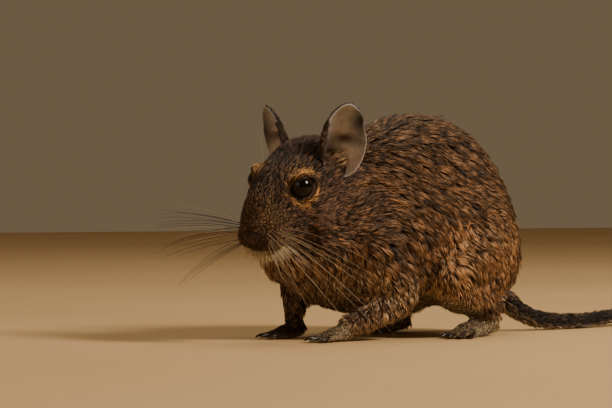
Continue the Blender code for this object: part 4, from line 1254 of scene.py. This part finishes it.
# %% [markdown]
# The section of the lids is a list of places: how far outside the opening, and how high over the eyeball.
# A second list says how much of the painted reflection of the wet margin each of them takes, and only the
# lower lid shows it.

# %% The ring of the lids
LID_STEPS = 96
LID_SECTION = (
    (0.0, -0.60), (-0.04, 0.10), (0.18, 0.42), (0.60, 0.46),
    (1.1, 0.05), (2.0, -0.9), (1.8, -2.2), (0.7, -1.8),
)
LID_REFLECTION = (0, 1, 1, 0.2, 0, 0, 0, 0)


def lid_ring(side):
    """Points of the lid round the eye: rows go round the eye, columns go round the section."""
    look, long_way, short_way = eye_ways(side)
    ball = EYE_RADIUS + 0.10
    edge = ball * 0.97
    rows = []
    for turn in np.arange(LID_STEPS) / LID_STEPS * 2 * math.pi:
        out_way = long_way * math.cos(turn) + short_way * math.sin(turn)
        row = []
        for wide, high in LID_SECTION:
            across = float(lid_reach(turn)) + wide
            base = math.sqrt(ball**2 - min(across, edge) ** 2)
            slope = max(across - edge, 0) * 0.35
            row.append(EYES[side] / MM + out_way * across + look * (base + high - slope))
        rows.append(row)
    return np.array(rows) * MM


for side in SIDES:
    rows = lid_ring(side)
    around, section = rows.shape[:2]
    index = np.arange(around * section).reshape(around, section)
    a, b = index, np.roll(index, -1, 0)
    c, d = np.roll(b, -1, 1), np.roll(index, -1, 1)
    tris = np.vstack([np.stack(corners, -1).reshape(-1, 3) for corners in ((a, b, c), (a, c, d))])
    lid = mesh_from(f"eyelid_{side}", rows.reshape(-1, 3), tris)
    turns = np.arange(around)[:, None] / around * 2 * np.pi
    # The painted reflection is laid on the lower half of the ring only.
    reflection = np.array(LID_REFLECTION)[None] * np.clip(-np.sin(turns) * 2.0, 0, 1)
    give_values(lid.data, "painted_reflection", "FLOAT", reflection.ravel())
    edit_all(lid, bpy.ops.mesh.normals_make_consistent, inside=False)
    apply_modifier(lid, "SUBSURF", levels=1, render_levels=1)
    bpy.ops.object.shade_smooth()
    lid.data.materials.append(lid_finish)
    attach(lid, "root")
    print(lid.name, "triangles before subdivision", len(tris))

# %% [markdown]
# The ears are thin cups of skin, nearly bare inside and covered with short dark hair behind.
# The dark hair also runs over the front fold of the rim.
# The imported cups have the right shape, but their faces are coarse, so a copy is subdivided and smoothed.
# The fold and the hollow in the middle of each cup are pressed into its points.
# Places on a cup are shares of its width and height, and the same shares place its colours.
# The skin is thin and dull, with blotches about 4 mm wide and fine veins about 2 mm apart.

# %% The ears' finish
EARS = {
    "left": ((-20.3, 19.0, 10.7), (0.62, 0.74, 0.16), (-0.45, 0.02, 0.89), 30.4, 17.7),
    "right": ((-20.5, -17.0, 7.6), (0.84, -0.42, 0.10), (-0.30, -0.12, 0.86), 26.5, 15.5),
}
ear_finish, tree, shader = finish_named("thin_ear_skin", Roughness=0.6, Specular_IOR_Level=0.3)
place = add(tree, "ShaderNodeTexCoord")
blotch = add(tree, "ShaderNodeTexNoise", {"Vector": (place, "Object"), "Scale": 260.0, "Detail": 5.0})
BLOTCHES = ((0.3, (0.62, 0.60, 0.58, 1)), (0.6, (0.95, 0.95, 0.95, 1)), (0.8, (1, 1, 1, 1)))
base = add(tree, "ShaderNodeValToRGB", {"Fac": (blotch, "Fac")}, BLOTCHES)
sources = {"Vector": (place, "Object"), "Scale": 420.0, "Detail": 5.0, "Distortion": 1.2}
veins = add(tree, "ShaderNodeTexNoise", sources)
THREADS = ((0.46, (1, 1, 1, 1)), (0.50, (0.72, 0.60, 0.58, 1)), (0.54, (1, 1, 1, 1)))
thread = add(tree, "ShaderNodeValToRGB", {"Fac": (veins, "Fac")}, THREADS)
tint = add(tree, "ShaderNodeAttribute", attribute_name="tone")
sources = {"Factor": 1.0, 6: (tint, "Color"), 7: (base, "Color")}
blotched = add(tree, "ShaderNodeMix", sources, data_type="RGBA", blend_type="MULTIPLY")
sources = {"Factor": 0.5, 6: (blotched, 2), 7: (thread, "Color")}
colour = add(tree, "ShaderNodeMix", sources, data_type="RGBA", blend_type="MULTIPLY")
bump = add(tree, "ShaderNodeBump", {"Height": (veins, "Fac"), "Strength": 0.35, "Distance": 0.4 * MM})
join(tree, shader, {"Base Color": (colour, 2), "Normal": (bump, "Normal")})

# %% [markdown]
# Each ear has its own middle, opening, long way and size in the head's frame.
# The two differ, because the animal turns each ear by itself.
# The patches lie over its inside as soft ovals, and only the painted shade of the dark outer edge differs
# from ear to ear.

# %% Places and colours on an ear
FOLD_RISE, FOLD_WIDTH = (-0.6, -0.1, 0.15, 0.45, 0.78), (0.20, 0.36, 0.34, 0.24, -0.05)
# Each ear's dark outer edge is painted shade.
EAR_EDGE_SHADE = {
    "left": ((0.66, 0.60), (0.30, 0.40), "#241c19", 0.95),
    "right": ((1.0, 0.2), (0.5, 0.9), "#3a2c24", 0.9),
}
# Among the patches, the red brown hollow and the near black spot low in the cup are painted shade, and the
# pale band along the fold is a painted highlight.
EAR_PATCHES_AND_PAINTED_LIGHT = (
    ((0.55, -0.50), (0.5, 0.40), "#d6c2b4", 0.9), ((0.25, 0.0), (0.50, 0.13), "#4a2c26", 0.92),
    ((-0.50, -0.35), (0.40, 0.40), "#3a231c", 0.95), ((-0.05, 0.24), (0.45, 0.07), "#c2aca2", 0.7),
    ((-0.05, -0.80), (0.30, 0.22), "#1d130e", 0.95),
)


def ear_places(side, places, across):
    """Places on an ear as shares of its cup: outwards and up, and how much each faces the opening."""
    at, opens, long_way, height, width = EARS[side]
    opens, long_way = np.array(opens), np.array(long_way)
    opens = opens / np.linalg.norm(opens)
    long_way = unit((long_way - opens * long_way.dot(opens))[None])[0]
    wide_way = np.cross(long_way, opens) * SIGN[side]
    away = head_place(places) - np.array(at)
    facing = across @ HEAD_AXES.T @ opens
    return away @ wide_way / (width / 2), away @ long_way / (height / 2), facing


def folded(out, rise):
    """How far places on an ear lie past the furred strip of its front fold; below 0 is on the fold."""
    return out + 1 - np.interp(rise, FOLD_RISE, FOLD_WIDTH)


def ear_tones(side, out, rise, facing):
    """Colours over an ear: grey inside, painted shade at its dark outer edge, in its red brown hollow and low
    in the cup, a painted highlight along its fold, and brown behind.
    """
    shade = np.tile(linear("#a9a7a8")[:3], (len(out), 1))
    spots = np.stack([out, rise], 1)
    for centre, reach, colour, most in (EAR_EDGE_SHADE[side], *EAR_PATCHES_AND_PAINTED_LIGHT):
        weight = near(spots, centre, reach) * most
        shade = shade * (1 - weight[:, None]) + np.array(linear(colour)[:3]) * weight[:, None]
    back = np.clip(-facing * 3.0 + 0.75, 0, 1)
    back = np.maximum(back, np.clip(0.5 - folded(out, rise) / 0.06, 0, 1))[:, None]
    return shade * (1 - back) + np.array(linear("#35271f")[:3]) * back


# %% [markdown]
# The cups are pressed in where the hollow and the folds are, coloured, and furred behind and on the fold.

# %% Ears and the fur behind them
EAR_PRESSED = (
    ((-0.30, -0.98), (0.60, 0.30), 4.0), ((0.30, -0.02), (0.45, 0.13), 1.4),
    ((0.05, 0.19), (0.50, 0.09), -0.9),
)
for side in SIDES:
    ear = bare_copy(f"ear_{side}")
    ear.name = f"ear_skin_{side}"
    ear.data.materials.clear()
    apply_modifier(ear, "SUBSURF", levels=2, render_levels=2)
    apply_modifier(ear, "SMOOTH", factor=0.5, iterations=8)
    apply_modifier(ear, "TRIANGULATE")
    bpy.ops.object.shade_smooth()
    ear_points, ear_faces = points_of(ear.data)
    out, rise, facing = ear_places(side, ear_points, normals_of(ear_points, ear_faces))
    spots = np.stack([out, rise], 1)
    sunk = sum(near(spots, centre, reach) * deep for centre, reach, deep in EAR_PRESSED)
    ear_points -= sunk[:, None] * MM * np.array((FORWARD + LEFT * SIGN[side]).normalized())
    set_points(ear, ear_points)
    ear_normals = normals_of(ear_points, ear_faces)
    out, rise, facing = ear_places(side, ear_points, ear_normals)
    give_values(ear.data, "tone", "FLOAT_COLOR", ear_tones(side, out, rise, facing))
    ear.data.materials.append(ear_finish)
    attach(ear, "root")
    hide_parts(f"ear_{side}")
    cup = SimpleNamespace(points=ear_points, triangles=ear_faces, normals=ear_normals)
    up_and_back = np.tile(np.array(CROWN) * 0.8 - np.array(FORWARD) * 0.4, (len(out), 1))
    back = other_fur(cup, up_and_back, 2.1 - 0.7 * np.clip(rise, -1, 1), "#6d5239", 0.62)
    outside = (facing[ear_faces].mean(1) < -0.15) | (folded(out, rise)[ear_faces].mean(1) < -0.03)
    total += grow(f"ear_fur_{side}", back, np.nonzero(outside)[0], 5.5, 1.3, 0.24, rise=(22, 6))
    print(ear.name, "triangles", len(ear.data.polygons))
print("triangles of all the fur", total)

# %% [markdown]
# The nose is a small bare pad with a comma-shaped nostril on each side and a groove down the middle.
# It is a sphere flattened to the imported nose, dented in code where the nostrils and the groove are.
# The skin is moist and pebbled, so it has a soft shine over grains of about 0.3 mm.

# %% Nose
bpy.ops.object.select_all(action="DESELECT")
bpy.ops.mesh.primitive_uv_sphere_add(segments=64, ring_count=48, radius=1.0)
nose = bpy.context.object
nose.name = "nose"
ball = np.array([v.co for v in nose.data.vertices])
spots = ball * np.array(NOSE_RADII)
spots[:, 1] *= 1 - 0.30 * np.clip(-ball[:, 2], 0, 1)
width_at, height_at = np.abs(spots[:, 1]), spots[:, 2]
front = np.clip(ball[:, 0] * 2, 0, 1)
comma = np.exp(-(((width_at - 2.0 - 0.35 * height_at) / 0.62) ** 2 + ((height_at + 0.2) / 1.05) ** 2))
groove = np.exp(-((width_at / 0.30) ** 2)) * np.clip(-height_at / 1.2 + 0.2, 0, 1)
wing = np.exp(-(((width_at - 2.9) / 0.6) ** 2 + ((height_at - 0.6) / 1.3) ** 2))
spots[:, 0] += front * (-1.5 * comma - 0.55 * groove + 0.30 * wing)
spots += np.array(NOSE_AT)
set_points(nose, np.array(HEAD) + spots @ HEAD_AXES * MM)
give_values(nose.data, "pit", "FLOAT", front * comma)
bpy.ops.object.shade_smooth()
print("nose reaches, mm ahead of the eyes", round(float(spots[:, 0].max()), 1))

# %% [markdown]
# The pad is dark where it is dry and warmer round the nostrils. Inside the nostrils it is painted nearly
# black, as painted shade in the openings.

# %% The nose's finish
nose_finish, tree, shader = finish_named("bare_nose_skin", Roughness=0.48, Specular_IOR_Level=0.35)
place = add(tree, "ShaderNodeTexCoord")
pebble = add(tree, "ShaderNodeTexVoronoi", {"Vector": (place, "Object"), "Scale": 3600.0})
pit = add(tree, "ShaderNodeAttribute", attribute_name="pit")
# The last, nearly black shade is painted shade inside the nostrils.
shades = ((0.0, linear("#1e110d")), (0.30, linear("#4c2d24")), (0.75, linear("#0a0504")))
tint = add(tree, "ShaderNodeValToRGB", {"Fac": (pit, "Fac")}, shades)
bump = add(tree, "ShaderNodeBump", {"Height": (pebble, "Distance"), "Strength": 0.5, "Distance": 0.1 * MM})
join(tree, shader, {"Base Color": (tint, "Color"), "Normal": (bump, "Normal")})
nose.data.materials.append(nose_finish)
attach(nose, "root")
print("nose faces", len(nose.data.polygons))

# %% [markdown]
# Whiskers grow in rows from the pads beside the nose, short in front and longest behind.
# Each is a fine tapering tube that fans out and droops, more on the left, where they hang over the cheek.
# A fringe of fine cream hairs hangs from the edge of the upper lip, and one long hair grows above each eye.
# On the far side most are black and on the near side most are pale, as they show against the light.

# %% The path of a whisker
skin_tree = BVHTree.FromPolygons(points.tolist(), triangles.tolist())
WHISKER_ROWS, WHISKER_COLUMNS = 5, 5
WHISKER_DROOP = {"left": 0.22, "right": 0.0}
WHISKER_BEND = {"left": 0.0065, "right": 0.0042}
WHISKER_SPAN = {"left": (17.0, 8.5), "right": (24.0, 6.6)}


def on_skin(place):
    """The place on the skin that is nearest."""
    return Vector(skin_tree.find_nearest(place)[0])


def hair_path(root, way, reach, bend, count=14):
    """Points along one hair, from just inside the skin to a tip that bend pulls away and the floor stops."""
    path = np.array([root + (way * s + bend * max(s, 0) ** 2) * MM for s in np.linspace(-0.6, reach, count)])
    path[:, 2] = np.maximum(path[:, 2], 10 * FLOOR_GAP)
    return path


def whisker_path(side, row, column):
    """Points along the whisker at one place of the pad's rows."""
    turn = SIGN[side]
    x = 21.3 - 1.55 * column + 0.15 * row + draw.normal(0, 0.15)
    z = -9.3 - 1.40 * row + draw.normal(0, 0.12)
    root = on_skin(from_head(x, 6.5 * turn, z))
    middle = from_head(15.1, -2.5 * turn, -12.1)
    way = (root - middle).normalized() - CROWN * WHISKER_DROOP[side]
    way = (way.normalized() + FORWARD * draw.normal(0, 0.05) + CROWN * draw.normal(0, 0.05)).normalized()
    shortest, longer = WHISKER_SPAN[side]
    reach = (shortest + longer * column) * draw.uniform(0.88, 1.04)
    bend = -FORWARD * 0.0022 - CROWN * WHISKER_BEND[side] * draw.uniform(0.8, 1.35)
    return hair_path(root, way, reach, bend)


# %% [markdown]
# Five rows of five stand on each pad, and the fringe follows the edge of the lip from the front to the cheek.

# %% Rows of whiskers, and the fringe of the lips
LIP_HAIRS = 170
USUAL, OTHER = {"left": "pale", "right": "dark"}, {"left": "dark", "right": "pale"}
groups = {"dark": [], "pale": [], "lip": []}
for side in SIDES:
    turn = SIGN[side]
    for row in range(WHISKER_ROWS):
        for column in range(WHISKER_COLUMNS):
            kind = USUAL[side] if draw.random() < 0.86 else OTHER[side]
            groups[kind].append(whisker_path(side, row, column))
    for number in range(LIP_HAIRS):
        turned_by = math.radians(3 + 105 * draw.random() ** 1.5) * turn
        out = FORWARD * math.cos(turned_by) + LEFT * math.sin(turned_by)
        low = lip_edge(13.5 + 9.5 * math.cos(turned_by)) + draw.uniform(-0.6, 1.6)
        root = on_skin(from_head(13.5, 0, low) + out * 8.5 * MM)
        way = (out * draw.uniform(0.6, 1.0) - CROWN * draw.uniform(0.6, 1.0) - FORWARD * 0.1).normalized()
        reach = draw.uniform(7, 14) if number % 12 == 0 else draw.uniform(3.6, 6.2)
        groups["lip"].append(hair_path(root, way, reach, -CROWN * 0.012 - FORWARD * 0.004, 8))
    root = on_skin(from_head(-1.2, 7.6 * turn, 6.5))
    way = (CROWN * 0.86 + LEFT * 0.25 * turn - FORWARD * 0.40).normalized()
    groups["pale"].append(hair_path(root, way, 13.5, -FORWARD * 0.003))
print("hairs", {kind: len(paths) for kind, paths in groups.items()})

# %% [markdown]
# The hairs of one colour are joined as one piece.
# A whisker is smooth and stiff, so it has a sharper shine than the coat, with faint streaks 2.5 mm long.

# %% Whiskers
def joined_tubes(name, tubes, sides):
    """One smooth piece from (points, radii) pairs, kept above the floor."""
    vertices, tris, offset = [], [], 0
    for path, thick in tubes:
        v, t = tube(path, thick, sides)
        v[:, 2] = np.maximum(v[:, 2], FLOOR_GAP)
        vertices.append(v)
        tris.append(t + offset)
        offset += len(v)
    piece = mesh_from(name, np.vstack(vertices), np.vstack(tris))
    only(piece)
    bpy.ops.object.shade_smooth()
    return piece


for kind, code, radius in (("dark", "#1a110b", 0.12), ("pale", "#cbb68e", 0.068), ("lip", "#dfcda6", 0.054)):
    tubes = [(path, np.linspace(radius, radius * 0.25, len(path)) * MM) for path in groups[kind]]
    piece = joined_tubes(f"whiskers_{kind}", tubes, 5)
    shades = ((0.3, [c * 0.7 for c in linear(code)[:3]] + [1]), (0.7, linear(code)))
    hair = mottled(f"{kind}_whisker_hair", 400.0, shades, Roughness=0.35, Specular_IOR_Level=0.5)
    piece.data.materials.append(hair)
    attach(piece, "root")
    print(piece.name, len(tubes), "hairs", len(piece.data.polygons), "triangles")

# %% [markdown]
# The claws are small, dark and slightly hooked, with the dull shine and fine streaks of horn.
# Each is a tapering tube that starts inside its toe, arches a little and bends down to the floor.

# %% Claws
CLAW_LONG, CLAW_INSIDE, CLAW_THICK = 3.8, 0.9, 0.80
tubes = []
for tip, way in TOES:
    reach = CLAW_LONG * draw.uniform(0.9, 1.1)
    steps = np.linspace(-CLAW_INSIDE, reach, 9)
    share = (steps + CLAW_INSIDE) / (reach + CLAW_INSIDE)
    height = 0.75 - 0.95 * share**2 + 0.3 * np.sin(math.pi * share)
    path = [tip + (way * s + Vector((0, 0, h))) * MM for s, h in zip(steps, height)]
    tubes.append((np.array(path), CLAW_THICK * np.sqrt(np.clip(1.02 - share, 0, 1)) * MM))
claws = joined_tubes("claws", tubes, 10)
shades = ((0.3, linear("#140d09")), (0.75, linear("#33251a")))
claws.data.materials.append(mottled("claw_horn", 900.0, shades, Roughness=0.3, Specular_IOR_Level=0.5))
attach(claws, "root")
print("claws", len(tubes))
